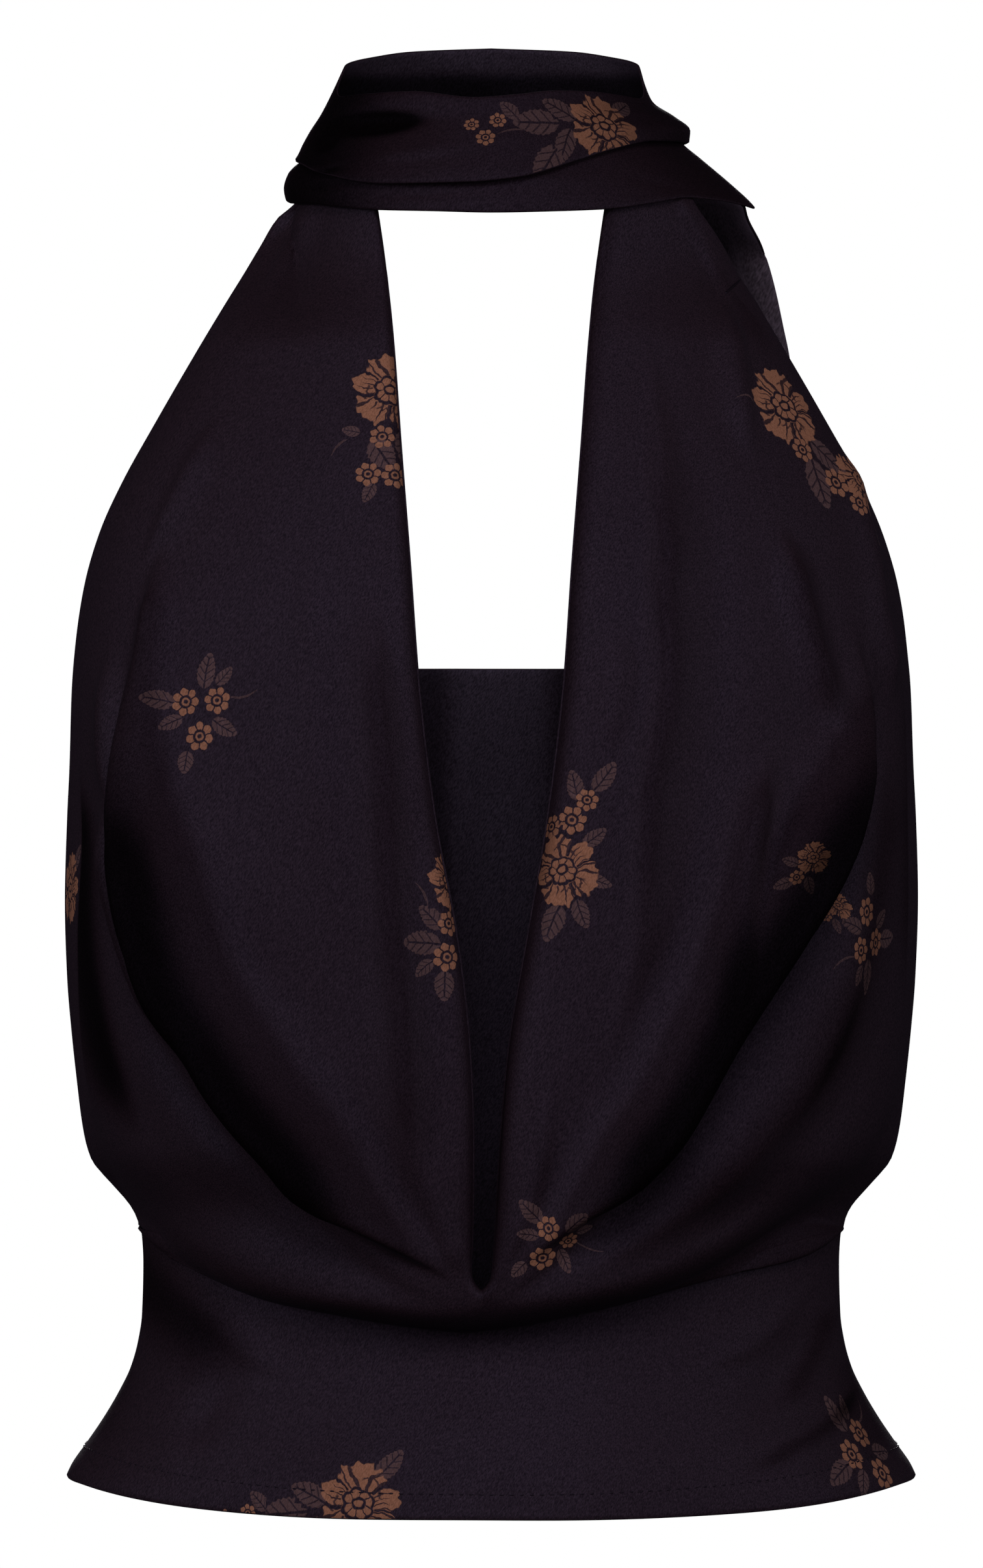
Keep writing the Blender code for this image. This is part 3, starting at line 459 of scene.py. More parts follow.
def smooth(xs, ys, x):
    """The value at x on a smooth curve through the points, which never passes above or below them."""
    xs, ys, x = np.asarray(xs, float), np.asarray(ys, float), np.asarray(x, float)
    width = np.diff(xs)
    slope = np.diff(ys) / width
    tangent = np.concatenate([[slope[0]], np.zeros(len(xs) - 2), [slope[-1]]])
    for i in range(1, len(xs) - 1):
        before, after = slope[i - 1], slope[i]
        if before * after > 0:
            near, far = 2 * width[i] + width[i - 1], width[i] + 2 * width[i - 1]
            tangent[i] = (near + far) / (near / before + far / after)
    i = np.clip(np.searchsorted(xs, x, side="right") - 1, 0, len(width) - 1)
    t = np.clip((x - xs[i]) / width[i], 0, 1)
    return curve(ys[i], tangent[i] * width[i], ys[i + 1], tangent[i + 1] * width[i], t)


def flowing(stations, values, at):
    """Values at a position along a round curve through the stations, for paths that bend freely."""
    stations, values = np.asarray(stations, float), np.asarray(values, float)
    tangent = np.gradient(values, stations)
    i = np.clip(np.searchsorted(stations, at, side="right") - 1, 0, len(stations) - 2)
    width = stations[i + 1] - stations[i]
    t = np.clip((at - stations[i]) / width, 0, 1)
    return curve(values[i], tangent[i] * width, values[i + 1], tangent[i + 1] * width, t)


def ease(low, high, x):
    """0 below low, 1 above high and a smooth step between them."""
    t = np.clip((np.asarray(x, float) - low) / (high - low), 0, 1)
    return t * t * (3 - 2 * t)


def column(table, name, drop):
    """The value in a table's named column at each drop."""
    return smooth(table["drop"], table[name], drop)


def in_view(x, drop, y):
    """The point at depth y that is seen from the front at x and drop in the plane of the side seams."""
    near = 1 + y / EYE_DISTANCE
    return np.stack([x * near, y, -EYE_DROP + (EYE_DROP - drop) * near], axis=-1)


def half_width(x, drop):
    """How far the middle of the cloth reaches to the side that x is on."""
    return np.where(np.asarray(x) < 0, column(SIDES, "left", drop), column(SIDES, "right", drop)) - WALL / 2


def bow(share, square):
    """A rounded section: 1 in the middle and 0 where share is 1, and squarer as square grows."""
    return (1 - np.clip(np.abs(share), 0, 1) ** square) ** (1 / square)


def turn_size(table, name, drop, inset):
    """The reach of the middle of a layer this far inside a turn of the scarf."""
    return column(table, name, drop) - WALL / 2 - inset


def turn_depth(table, x, drop, inset):
    """How far a layer this far inside a turn of the scarf stands forward at x and drop."""
    side = np.where(x < 0, turn_size(table, "left", drop, inset), turn_size(table, "right", drop, inset))
    return turn_size(table, "front", drop, inset) * np.sqrt(1 - np.clip(np.abs(x) / side, 0, 0.995) ** 2)


def front_depth(x, drop):
    """The forward reach of the smooth front, before its folds."""
    share = np.abs(x) / half_width(x, drop)
    side = column(FRONT, "side", drop)
    open_front = side + (column(FRONT, "middle", drop) - side) * bow(share, column(FRONT, "square", drop))
    scarf_end = LOWER_TURN["drop"][-1]
    under_scarf = turn_depth(LOWER_TURN, x, np.clip(drop, FRONT_TOP, scarf_end), LAYER_STEP)
    return under_scarf + (open_front - under_scarf) * ease(scarf_end, FRONT_FREE, drop)


def fold_height(folds, x, drop):
    """The sum of the folds at points x and drop, out of the cloth."""
    total = np.zeros(np.shape(x))
    for _, height, inner, outer, start, end, path in folds:
        path = np.array(path, float)
        knots = np.arange(len(path))
        fine = np.linspace(0, knots[-1], 6 * len(path))
        line = np.stack([flowing(knots, path[:, 0], fine), flowing(knots, path[:, 1], fine)], axis=-1)
        a, along = line[:-1], np.diff(line, axis=0)
        length = running(np.hypot(*along.T))
        rel = np.stack([x, drop], axis=-1)[..., None, :] - a
        t = np.clip((rel * along).sum(-1) / (along ** 2).sum(-1), 0, 1)
        away = rel - t[..., None] * along
        far = np.hypot(away[..., 0], away[..., 1])
        nearest = far.argmin(-1)[..., None]
        pick = lambda values: np.take_along_axis(values, nearest, -1)[..., 0]
        distance = pick(far)
        here = pick((length[:-1] + t * np.diff(length)) / length[-1])
        outside = np.abs(x) > np.abs(pick(np.broadcast_to(a[:, 0] + t * along[:, 0], far.shape)))
        fade = ease(0, start, here) * ease(0, end, 1 - here)
        width = np.where(outside, outer, inner) * (END_WIDTH + (1 - END_WIDTH) * fade)
        total += height * fade * np.exp(-FALLOFF * (distance / width) ** 2)
    return total


def normals(grid):
    """Unit normals of a grid of points, which point to the right of its rows."""
    return unit(np.cross(np.gradient(grid, axis=0), np.gradient(grid, axis=1)))


def waist_dip(turn):
    """How far the waist seam has dropped at an angle round from the side."""
    return WAIST_DIP * np.sin(turn) ** 4


def seam_point(sign, run):
    """The outer edge of the cowl, along the armhole and side, then round the waist to its middle."""
    drop = np.minimum(run, WAIST_SEAM - SEAM_LIFT)
    side = half_width(sign * np.ones_like(run), drop)
    turn = np.radians(90) * np.maximum(run - WAIST_SEAM + SEAM_LIFT, 0) / (MIDDLE_RUN - WAIST_SEAM + SEAM_LIFT)
    ahead = 0.5 + 2.0 * ease(0, 0.3, turn)
    waist = (column(WAIST_FRONT, "middle", WAIST_SEAM) + ahead) * np.sin(turn)
    y = np.minimum(np.where(turn > 0, -waist, -front_side(sign, drop)), -SEAM_GAP / 2)
    x = sign * (side + ahead * (turn > 0)) * np.cos(turn)
    flat = np.stack([x, y, -drop - waist_dip(turn)], axis=-1)
    return np.where((turn > 0)[:, None], flat, in_view(x, drop, y))


def clear_of_waist(points):
    """Moves points that hang outside the waist clear of its cloth."""
    x, y, drop = points[..., 0], points[..., 1], -points[..., 2]
    clear = WAIST_CLEAR * ease(4, 45, -y)
    across = half_width(x, drop) + clear
    ahead = column(WAIST_FRONT, "middle", drop) + clear
    short = np.maximum(1 / np.maximum(np.hypot(x / across, y / ahead), 0.5) - 1, 0)
    grow = 1 + short * ease(WAIST_SEAM - 4.5, WAIST_SEAM - 2, drop)
    return points * np.stack([grow, grow, np.ones_like(grow)], axis=-1)


def front_side(sign, drop):
    """The forward reach of the smooth front at its outer edge."""
    return front_depth(sign * half_width(sign * np.ones_like(drop), drop), drop)


def rolled(distance, radius):
    """How far a rounded edge falls back at a distance from its line."""
    inside = np.clip(1 - distance / radius, 0, 1)
    return radius * (1 - np.sqrt(1 - inside ** 2))


def even_steps(count, ends):
    """Shares from 0 to 1 which lie closer together at both ends as ends grows."""
    even = np.linspace(0, 1, count + 1)
    return (1 - ends) * even + ends * even ** 2 * (3 - 2 * even)


def rolled_edge(face, outward):
    """The columns that round the neckline's edge, from their inner end to the face."""
    inward = unit(face[:, 0] - face[:, 1])
    rolls = []
    for k in range(ROLL_COLUMNS, 0, -1):
        angle = np.pi / 2 * k / ROLL_COLUMNS
        rolls.append(face[:, 0] + ROLL_RADIUS * (inward * np.sin(angle) - outward[:, 0] * (1 - np.cos(angle))))
    return np.stack(rolls, 1)


def turned_under(face, seam, run):
    """The columns from the crest, where the cloth hangs lowest or stands furthest out, back to the seam."""
    crest, leave = face[:, -1], unit(face[:, -1] - face[:, -2])
    under = ease(WAIST_SEAM + 4, WAIST_SEAM + 40, run)
    arrive = (1 - under) * np.array([0, 1.0, 0]) + under * np.array([0, 0.25, 1.0])
    reach = np.linalg.norm(seam - crest, axis=-1, keepdims=True) * (0.6 + 0.5 * ease(20, 90, run))
    t = (np.arange(CREST_TO_SEAM) + 1)[:, None, None] / CREST_TO_SEAM
    turned = curve(crest, leave * reach, seam, arrive * reach, t)
    turned[:-1, :, 1] = np.minimum(turned[:-1, :, 1], -0.5)
    return np.moveaxis(turned, 0, 1)


def cowl_shade(side, height, from_edge, x, drop, run):
    """Painted shade at each point of the cowl's outer and inner side: in its folds, beside the neckline's edge,
    where it turns from the light and under the overhang.
    """
    (beside, strength), (shallow, deepest) = EDGE_SHADE[side], VALLEY_SHADE[side]
    deep = SMALL_FOLD_SHADE * ease(*SMALL_FOLD, -height)
    deep = deep + (1 - SMALL_FOLD_SHADE) * ease(shallow, deepest, -height)
    deep = deep + strength * ease(beside, 0, from_edge) + fold_height(SHADES, x, drop)
    rolls = np.full((len(deep), ROLL_COLUMNS), strength)
    under = UNDER_SHADE * ease(WAIST_SEAM - 8, WAIST_SEAM + 4, run) * ease(0, 4, np.arange(CREST_TO_SEAM) + 1.0)
    return np.hstack([rolls, deep, under]), np.hstack([INNER_SHADE * rolls, INNER_SHADE * deep, under])


def cowl_half(table, side, positions):
    """One half of the cowl as a grid, whose rows run down the neckline and columns out to the seam, and the painted
    shade at each point of its outer and inner side."""
    table, sign = np.array(table, float), -1 if side == "left" else 1
    middle = table[:, 2:6].reshape(-1, 2, 2).mean(1)
    stations = running(np.hypot(*np.diff(middle, axis=0).T))
    at = positions * stations[-1]
    edge_x, edge_d, valley_x, valley_d, crest_x, crest_d, run = (
        flowing(stations, table[:, k], at)[:, None] for k in range(len(COWL_COLUMNS))
    )
    run[np.abs(run - WAIST_SEAM).argmin()] = WAIST_SEAM - SEAM_LIFT
    to_valley = even_steps(EDGE_TO_VALLEY, 0.55)
    to_crest = even_steps(VALLEY_TO_CREST, 0.5)[1:]
    step = np.hypot(valley_x - edge_x, valley_d - edge_d)
    edge_x, edge_d = (here + ROLL_RADIUS * (valley - here) / step
                      for here, valley in ((edge_x, valley_x), (edge_d, valley_d)))
    x = np.hstack([edge_x + (valley_x - edge_x) * to_valley, valley_x + (crest_x - valley_x) * to_crest])
    drop = np.hstack([edge_d + (valley_d - edge_d) * to_valley, valley_d + (crest_d - valley_d) * to_crest])
    from_edge = np.hypot(x - edge_x, drop - edge_d)
    depth = front_depth(x, drop)
    depth = depth - rolled(from_edge, column(NECKLINE_ROLL, side, edge_d))
    hang = ease(OVERHANG_START, OVERHANG_FULL, run) * rolled(np.hypot(x - crest_x, drop - crest_d), OVERHANG_ROLL)
    depth = depth - np.minimum(hang, 0.5 * depth)
    outward = normals(in_view(x, drop, -front_depth(x, drop))) * -sign
    height = fold_height(COWL_FOLDS + FINE_FOLDS, x, drop)
    face = in_view(x, drop, -depth) + outward * height[..., None]
    turned = turned_under(face, seam_point(sign, run[:, 0]), run)
    hanging = clear_of_waist(np.concatenate([face, turned[:, :-1]], axis=1))
    grid = np.concatenate([rolled_edge(face, outward), hanging, turned[:, -1:]], axis=1)
    return grid, *cowl_shade(side, height, from_edge, x, drop, run)


def cowl_grid():
    """The cowl from the left of the neck, round the V, to the right, joined at its lowest point."""
    positions = np.linspace(0, 1, COWL_ACROSS // 2)
    left, right = cowl_half(COWL_LEFT, "left", positions), cowl_half(COWL_RIGHT, "right", positions)
    left[0][-1] = right[0][-1] = (left[0][-1] + right[0][-1]) / 2
    grid, outer, inner = (np.concatenate([one, other[-2::-1]]) for one, other in zip(left, right))
    return relaxed(grid, 2), (outer, inner)


def relaxed(grid, rounds):
    """The grid with its inner points eased towards their neighbours, which takes out the finest steps."""
    for _ in range(rounds):
        inner = (grid[:-2, 1:-1] + grid[2:, 1:-1] + grid[1:-1, :-2] + grid[1:-1, 2:]) / 4
        grid = grid.copy()
        grid[1:-1, 1:-1] = (grid[1:-1, 1:-1] + inner) / 2
    return grid


def dented(depth, x, drop, dents):
    """The depth of a turn of the scarf, less its soft dents."""
    for centre, level, length, height, tilt, deep in dents:
        c, s = math.cos(math.radians(tilt)), math.sin(math.radians(tilt))
        along, over = (x - centre) * c + (drop - level) * s, (drop - level) * c - (x - centre) * s
        depth = depth - deep * np.exp(-FALLOFF * ((along / length) ** 2 + (over / height) ** 2))
    return depth


def turn_grid(table, edges, dents):
    """One turn of the scarf round the neck, as a closed grid of rows from its top to its bottom edge, with the
    painted shade of its outer and inner side.
    """
    angle = np.linspace(-180, 180, TURN_ROUND + 1)[:-1][:, None]
    top, bottom = smooth(edges["angle"], edges["top"], angle), smooth(edges["angle"], edges["bottom"], angle)
    drop = top + (bottom - top) * np.linspace(0, 1, TURN_DOWN + 1)
    turn = np.radians(angle) * np.ones_like(drop)
    side = np.where(turn < 0, turn_size(table, "left", drop, 0), turn_size(table, "right", drop, 0))
    depth = np.where(np.cos(turn) > 0, turn_size(table, "front", drop, 0), turn_size(table, "back", drop, 0))
    x, ahead = side * np.sin(turn), depth * np.cos(turn)
    smooth_ahead = ahead
    ahead = np.where(np.cos(turn) > 0, dented(ahead, x, drop, dents), ahead)
    # Painted shade: over the front of the outer side, more towards its sides, on the left and in the dents, and all
    # over the inner side, more lower down
    front = ease(-0.2, 0.3, np.cos(turn))
    outside = front * (0.34 + 0.25 * ease(0.5, 0.95, np.abs(x) / side) + 0.25 * ease(-20, -56, x))
    outside = outside + ease(1.0, 6.0, smooth_ahead - ahead)
    inside = 0.35 + 0.5 * ease(-32, -25, drop)
    # Slack ripples round the nape
    behind = ease(0, 0.5, -np.cos(turn))
    ahead = ahead + behind * 0.7 * np.sin(7 * turn + 0.11 * drop) * np.sin(0.19 * (drop + 6))
    return in_view(x, drop, -ahead), (outside, inside)


def tail_grid():
    """The hanging end of the scarf. Its top follows the inside of the lower turn."""
    angle = np.radians(np.linspace(TAIL_START, TAIL_END, TAIL_ACROSS + 1))
    drop = np.linspace(TAIL["drop"][0], TAIL["drop"][-1], TAIL_ROWS + 1)[:, None]
    held = np.minimum(drop, TAIL_HELD)
    side, depth = turn_size(LOWER_TURN, "right", held, LAYER_STEP), turn_size(LOWER_TURN, "back", held, LAYER_STEP)
    share = (angle - angle[0]) / (angle[-1] - angle[0])
    ripples = 1.3 * np.sin(2 * np.pi * 2.3 * share + 0.4) + 0.6 * np.sin(2 * np.pi * 4.1 * share + 1.1)
    slack = ease(24, 90, drop) * ripples * ease(0, 0.12, share)
    x = (side + column(TAIL, "out", drop) + slack) * np.sin(angle)
    flat = TAIL_FLARE * ease(16, 42, drop) * np.clip(1 - share / 0.42, 0, 1) ** 1.3
    y = column(TAIL, "back", drop) + flat - (depth + slack) * np.cos(angle)
    return in_view(x, drop * np.ones_like(x), y), (np.zeros_like(y), np.zeros_like(y))


def back_grid():
    """The back from side seam to side seam, with its soft folds. Its inner side is darker low down and
    towards the sides, where little light comes in through the V."""
    turn = np.linspace(-90, 90, BACK_ACROSS + 1)
    share = np.sign(turn) * (1 - (1 - np.abs(turn) / 90) ** 1.25)
    turn = np.radians(90 * share)
    drop = np.linspace(BACK_TOP, HEM_SIDE, BACK_ROWS + 1)[:, None]
    side = half_width(turn * np.ones_like(drop), drop)
    x = side * np.sin(turn)
    y = column(BACK, "middle", drop) * np.abs(np.cos(turn)) ** 0.85
    for centre, height, width in BACK_FOLDS:
        fade = ease(0, 40, WAIST_SEAM + 10 - drop) * (0.55 + 0.45 * ease(BACK_TOP, BACK_TOP + 60, drop))
        y = y + height * fade * np.exp(-FALLOFF * ((x - centre) / width) ** 2) * np.cos(turn) ** 0.5
    # Small gathers over the waist and a faint ripple in the flared hem
    waist = np.exp(-((drop - WAIST_SEAM + 16) / 26) ** 2)
    y = y + waist * 0.7 * np.sin(0.21 * x + 0.03 * drop) * np.cos(turn) ** 0.5
    y = y + ease(430, 478, drop) * 1.1 * np.sin(0.085 * x + 0.6) * np.cos(turn)
    # Painted shade of the inner side: beside the middle of the V and low down
    deep = 0.62 * ease(10, 24, np.abs(x - 3)) * ease(60, 40, np.abs(x)) + 0.4 * ease(230, 330, drop)
    return np.stack([x, np.maximum(y, 0.0), -drop * np.ones_like(x)], axis=-1), (np.zeros_like(deep), deep)


def waist_grid():
    """The fitted waist, whose top is tucked up under the cowl except at its ends."""
    turn = np.radians(np.linspace(-90, 90, WAIST_ACROSS + 1))
    level = np.linspace(0, 1, WAIST_ROWS + 1)[:, None]
    tucked = ease(0.02, 0.2, np.radians(90) - np.abs(turn))
    top = WAIST_SEAM - 1.0 - 4.0 * tucked + waist_dip(np.radians(90) - np.abs(turn))
    bottom = HEM_SIDE + HEM_FRONT_DIP * ease(0.25, 0.95, np.cos(turn))
    drop = top + (bottom - top) * level
    pinch = 1.3 * tucked * ease(9, 1, drop - top)
    x = (half_width(turn * np.ones_like(drop), drop) - pinch) * np.sin(turn)
    ahead = (column(WAIST_FRONT, "middle", drop) - pinch) * np.cos(turn)
    folds = fold_height(WAIST_FOLDS, x, drop) * np.cos(turn) ** 0.5
    ripple = ease(440, 480, drop) * 1.2 * np.sin(0.07 * x - 0.9) * np.cos(turn)
    grid = np.stack([x, np.minimum(-ahead - folds - ripple, 0.0), -drop], axis=-1)
    # The outer side's painted shade comes from WAIST_SHADES
    return grid, (fold_height(WAIST_SHADES, x, drop), np.zeros_like(drop))


def rim_loops(rows, columns, closed):
    """The rims of a grid as lists of point numbers, each with the cloth on its right."""
    index = np.arange(rows * columns).reshape(rows, columns)
    if closed:
        return [index[::-1, 0], index[:, -1]]
    return [np.concatenate([index[0], index[1:, -1], index[-1, -2::-1], index[-2:0:-1, 0]])]


def cloth_wall(name, grid, outward, wall, closed=False):
    """A thin closed wall with rounded rims round a grid of points. Its first faces are the outer side,
    and the number of those comes with it."""
    rows, columns = grid.shape[:2]
    if closed:
        facing = normals(np.concatenate([grid[-1:], grid, grid[:1]]))[1:-1]
    else:
        facing = normals(grid)
    facing = (facing * outward).reshape(-1, 3)
    flat = grid.reshape(-1, 3)
    index = np.arange(rows * columns).reshape(rows, columns)
    if closed:
        index = np.concatenate([index, index[:1]])
    outer = np.stack([index[:-1, :-1], index[1:, :-1], index[1:, 1:], index[:-1, 1:]], axis=-1).reshape(-1, 4)
    inner = len(flat)
    points, faces = [flat + facing * wall / 2, flat - facing * wall / 2], [outer, inner + outer[:, ::-1]]
    used = 2 * inner
    for loop in rim_loops(rows, columns, closed):
        i, j = np.divmod(loop, columns)
        inside_i = i if closed else np.clip(i, 1, rows - 2)
        inside = flat[inside_i * columns + np.clip(j, 1, columns - 2)]
        away = flat[loop] - inside
        away = away - (away * facing[loop]).sum(-1, keepdims=True) * facing[loop]
        points.append(flat[loop] + unit(away) * wall * RIM_BULGE)
        rim = used + np.arange(len(loop))
        after, rim_after = np.roll(loop, -1), np.roll(rim, -1)
        faces.append(np.stack([after, rim_after, rim, loop], axis=-1))
        faces.append(np.stack([rim_after, inner + after, inner + loop, rim], axis=-1))
        used += len(loop)
    faces = np.concatenate(faces)
    if outward < 0:
        faces = faces[:, ::-1]
    mesh = bpy.data.meshes.new(name)
    mesh.from_pydata((np.concatenate(points) * MM).tolist(), [], faces.tolist())
    side = np.zeros(len(faces), np.int32)
    side[len(outer):2 * len(outer)] = 1
    mesh.polygons.foreach_set("material_index", side)
    mesh.update()
    mesh.shade_smooth()
    return mesh, len(outer)


def photo_point(pixel_x, pixel_y):
    """The x and drop, in the plane of the side seams, of a pixel of the photograph."""
    return (pixel_x - MIDDLE_PIXEL) * PIXEL, (pixel_y - NECK_PIXEL) * PIXEL


def anchor_of(corners, x, drop, behind):
    """The middle and the outward, right and up directions of the cloth at a place seen from in front,
    or from behind, with the normals of all its faces."""
    centre = corners.mean(1)
    normal = unit(np.cross(corners[:, 2] - corners[:, 0], corners[:, 3] - corners[:, 1]))
    near = 1 + (0 if behind else centre[:, 1] / EYE_DISTANCE)
    off = np.hypot(centre[:, 0] / near - x, EYE_DROP - (centre[:, 2] + EYE_DROP) / near - drop)
    sign = 1 if behind else -1
    off = off + np.where(normal[:, 1] * sign > 0.1, 0, 1000)
    close = off < off.min() + 2.0
    pick = np.where(close, sign * centre[:, 1], -1e9).argmax()
    middle = centre[pick]
    around = np.linalg.norm(centre - middle, axis=-1) < FLAT_REACH
    out = normal[around & ((normal * normal[pick]).sum(-1) > 0)].mean(0)
    out /= np.linalg.norm(out)
    up = np.array([0, 0, 1.0]) - out[2] * out
    up /= np.linalg.norm(up)
    return middle, out, np.cross(up, out), up, normal


def elements_of(sprig):
    """A sprig's elements, as shape, x, y, half length, half width, turn in degrees and bend."""
    for shape in ("bloom", "daisy"):
        for x, y, radius, turn in sprig.get(shape, ()):
            yield shape, x, y, radius, radius, turn, 0
    for leaf in sprig["leaf"]:
        yield "leaf", *leaf


def print_cloth(mesh, outer, places):
    """Gives the outer faces near each sprig the coordinates of its blooms, daisies and leaves. A shape's
    own coordinates run from -1 to 1, and faces away from it hold AWAY."""
    corner = np.empty(len(mesh.loops), np.int32)
    mesh.loops.foreach_get("vertex_index", corner)
    point = np.empty(3 * len(mesh.vertices))
    mesh.vertices.foreach_get("co", point)
    corners = point.reshape(-1, 3)[corner[:4 * outer].reshape(-1, 4)] / MM
    charts = {shape: np.full((len(corner) // 4, 4, 2), AWAY) for shape in SHAPES}
    best = {shape: np.full(outer, 1e9) for shape in SHAPES}
    for sprig, x, drop, turn, size, behind in places:
        middle, out, right, up, normal = anchor_of(corners, x, drop, behind)
        away = corners - middle
        flat = np.stack([(away * right).sum(-1), (away * up).sum(-1)], axis=-1)
        stretch = np.linalg.norm(away, axis=-1) / np.maximum(np.linalg.norm(flat, axis=-1), 0.5)
        flat = flat * np.clip(stretch, 1, 1.5)[..., None]
        reach = (np.linalg.norm(away.mean(1), axis=-1) < PRINT_REACH * size) & ((normal * out).sum(-1) > 0.0)
        flat = turned_by(flat, -turn) / size
        for shape, centre_x, centre_y, length, width, spin, bend in elements_of(sprig):
            own = turned_by(flat - np.array([centre_x, centre_y]), -spin)
            here = np.abs(own.mean(1))
            limit = np.array([length, width]) * SHAPE_MARGIN + SHAPE_ROOM / size
            score = np.hypot(here[:, 0] / length, here[:, 1] / (width + 0.6))
            wins = reach & (here < limit).all(-1) & (score < best[shape])
            own = own / np.array([length, width])
            own[..., 1] -= bend * own[..., 0] ** 2 * length / width * 0.5
            charts[shape][:outer][wins] = own[wins]
            best[shape][wins] = score[wins]
    for shape in SHAPES:
        layer = mesh.uv_layers.new(name=shape)
        layer.data.foreach_set("uv", charts[shape].reshape(-1).astype(np.float32))


def turned_by(flat, degrees):
    """Flat points turned anticlockwise about the origin."""
    c, s = math.cos(math.radians(degrees)), math.sin(math.radians(degrees))
    return np.stack([flat[..., 0] * c - flat[..., 1] * s, flat[..., 0] * s + flat[..., 1] * c], axis=-1)


def places_of(cloth):
    """A cloth's sprigs, each with its middle's x and drop, turn, size and whether it is seen from behind."""
    front = [(sprig, *photo_point(px, py), *rest, False) for name, sprig, px, py, *rest in PLACES if name == cloth]
    return front + [(*rest, True) for name, *rest in BACK_PLACES if name == cloth]


def wired(tree, node, inputs):
    """Sets or links a node's inputs, which are given by name or number."""
    for name, value in inputs.items():
        if isinstance(value, Term):
            value = value.socket
        if isinstance(value, bpy.types.NodeSocket):
            tree.links.new(value, node.inputs[name])
        else:
            node.inputs[name].default_value = value


def added(tree, kind, inputs=None, **settings):
    """A new node of a material, with its settings and inputs."""
    node = tree.nodes.new("ShaderNode" + kind)
    for name, value in settings.items():
        setattr(node, name, value)
    wired(tree, node, inputs or {})
    return node


class Term:
    """A number in a material. Plain arithmetic on it adds Math nodes."""

    def __init__(self, tree, socket):
        self.tree, self.socket = tree, socket

    def made(self, operation, *others):
        """The result of a Math node on this number and others."""
        node = added(self.tree, "Math", dict(enumerate((self, *others))), operation=operation)
        return Term(self.tree, node.outputs[0])

    def __add__(self, other):
        return self.made("ADD", other)

    __radd__ = __add__

    def __sub__(self, other):
        return self.made("SUBTRACT", other)

    def __rsub__(self, other):
        return (self * -1) + other

    def __mul__(self, other):
        return self.made("MULTIPLY", other)

    __rmul__ = __mul__

    def __truediv__(self, other):
        return self.made("DIVIDE", other)

    def __pow__(self, other):
        return self.made("POWER", other)

    def size(self):
        """The number without its sign."""
        return self.made("ABSOLUTE")

    def step(self, low, high):
        """0 below low, 1 above high and smooth between them."""
        range_of = {"Value": self, "From Min": low, "From Max": high}
        node = added(self.tree, "MapRange", range_of, interpolation_type="SMOOTHSTEP")
        return Term(self.tree, node.outputs["Result"])


def shape_frame(tree, shape, wobble):
    """A print shape's own coordinates, unsteady as a woven figure's edge is, with their radius and angle."""
    own = added(tree, "UVMap", uv_map=shape).outputs["UV"]
    noise = added(tree, "TexNoise", {"Scale": 3.1, "Detail": 2.0, "Vector": own}, noise_dimensions="2D")
    parts = added(tree, "SeparateXYZ", {0: own}).outputs
    shake = added(tree, "SeparateColor", {0: noise.outputs["Color"]}).outputs
    x, y = (Term(tree, parts[k]) + (Term(tree, shake[k]) - 0.5) * wobble for k in (0, 1))
    return x, y, (x * x + y * y) ** 0.5, y.made("ARCTAN2", x)


def drawn_bloom(tree):
    """A large open flower: two rows of ruffled petals with dark veins, round a small rosette."""
    _, _, radius, turn = shape_frame(tree, "bloom", 0.2)
    angle = turn + (turn * 2.0 + 1.0).made("SINE") * 0.16 + (turn * 3.0).made("SINE") * radius * 0.22
    petal = (angle * 2.5).made("COSINE").size()
    ruffle = (turn * 19.0).made("SINE") * 0.03 + (turn * 31.0 + 2.0).made("SINE") * 0.02
    edge = petal ** 0.5 * 0.26 + 0.68 + ruffle
    filled = (edge - radius).step(0.0, 0.035)
    between = 1.0 - (radius * petal).step(0.06, 0.13)
    length = (turn * 5.0 + 2.0).made("SINE") * 0.25 + radius * 1.1
    veins = ((angle * 21.0 + (radius * 8.0).made("SINE") * 0.8).made("SINE") - length).step(-0.12, 0.12)
    inner = (angle * 2.5 + 0.9).made("COSINE").size()
    fold = (radius - 0.47 - inner * 0.14 - ruffle).size().step(0.04, 0.016)
    fold = fold * (turn * 2.5).made("SINE").step(-0.2, 0.2)
    outer = radius.step(0.36, 0.39)
    beads = (turn * 4.0).made("COSINE").size()
    rim = (radius - 0.31 - beads * 0.04).size().step(0.05, 0.022)
    spokes = 1.0 - (radius * beads).step(0.03, 0.07)
    spokes = spokes * radius.step(0.15, 0.17) * (1.0 - radius.step(0.32, 0.34))
    eye = (radius - 0.125).size().step(0.045, 0.02)
    lines = (between * outer).made("MAXIMUM", veins * outer * 0.92).made("MAXIMUM", rim).made("MAXIMUM", spokes)
    return filled * (1.0 - lines.made("MAXIMUM", eye).made("MAXIMUM", fold * 0.85))


def drawn_daisy(tree):
    """A small flower: seven round petals and a ringed eye."""
    _, _, radius, angle = shape_frame(tree, "daisy", 0.14)
    petal = (angle * 3.5).made("COSINE").size()
    filled = (petal ** 0.6 * 0.34 + 0.64 - radius).step(0.0, 0.06)
    between = (1.0 - (radius * petal).step(0.1, 0.22)) * radius.step(0.36, 0.42)
    ring = (radius - 0.37).size().step(0.12, 0.05)
    dot = radius.step(0.2, 0.11)
    return filled * (1.0 - between.made("MAXIMUM", ring).made("MAXIMUM", dot))


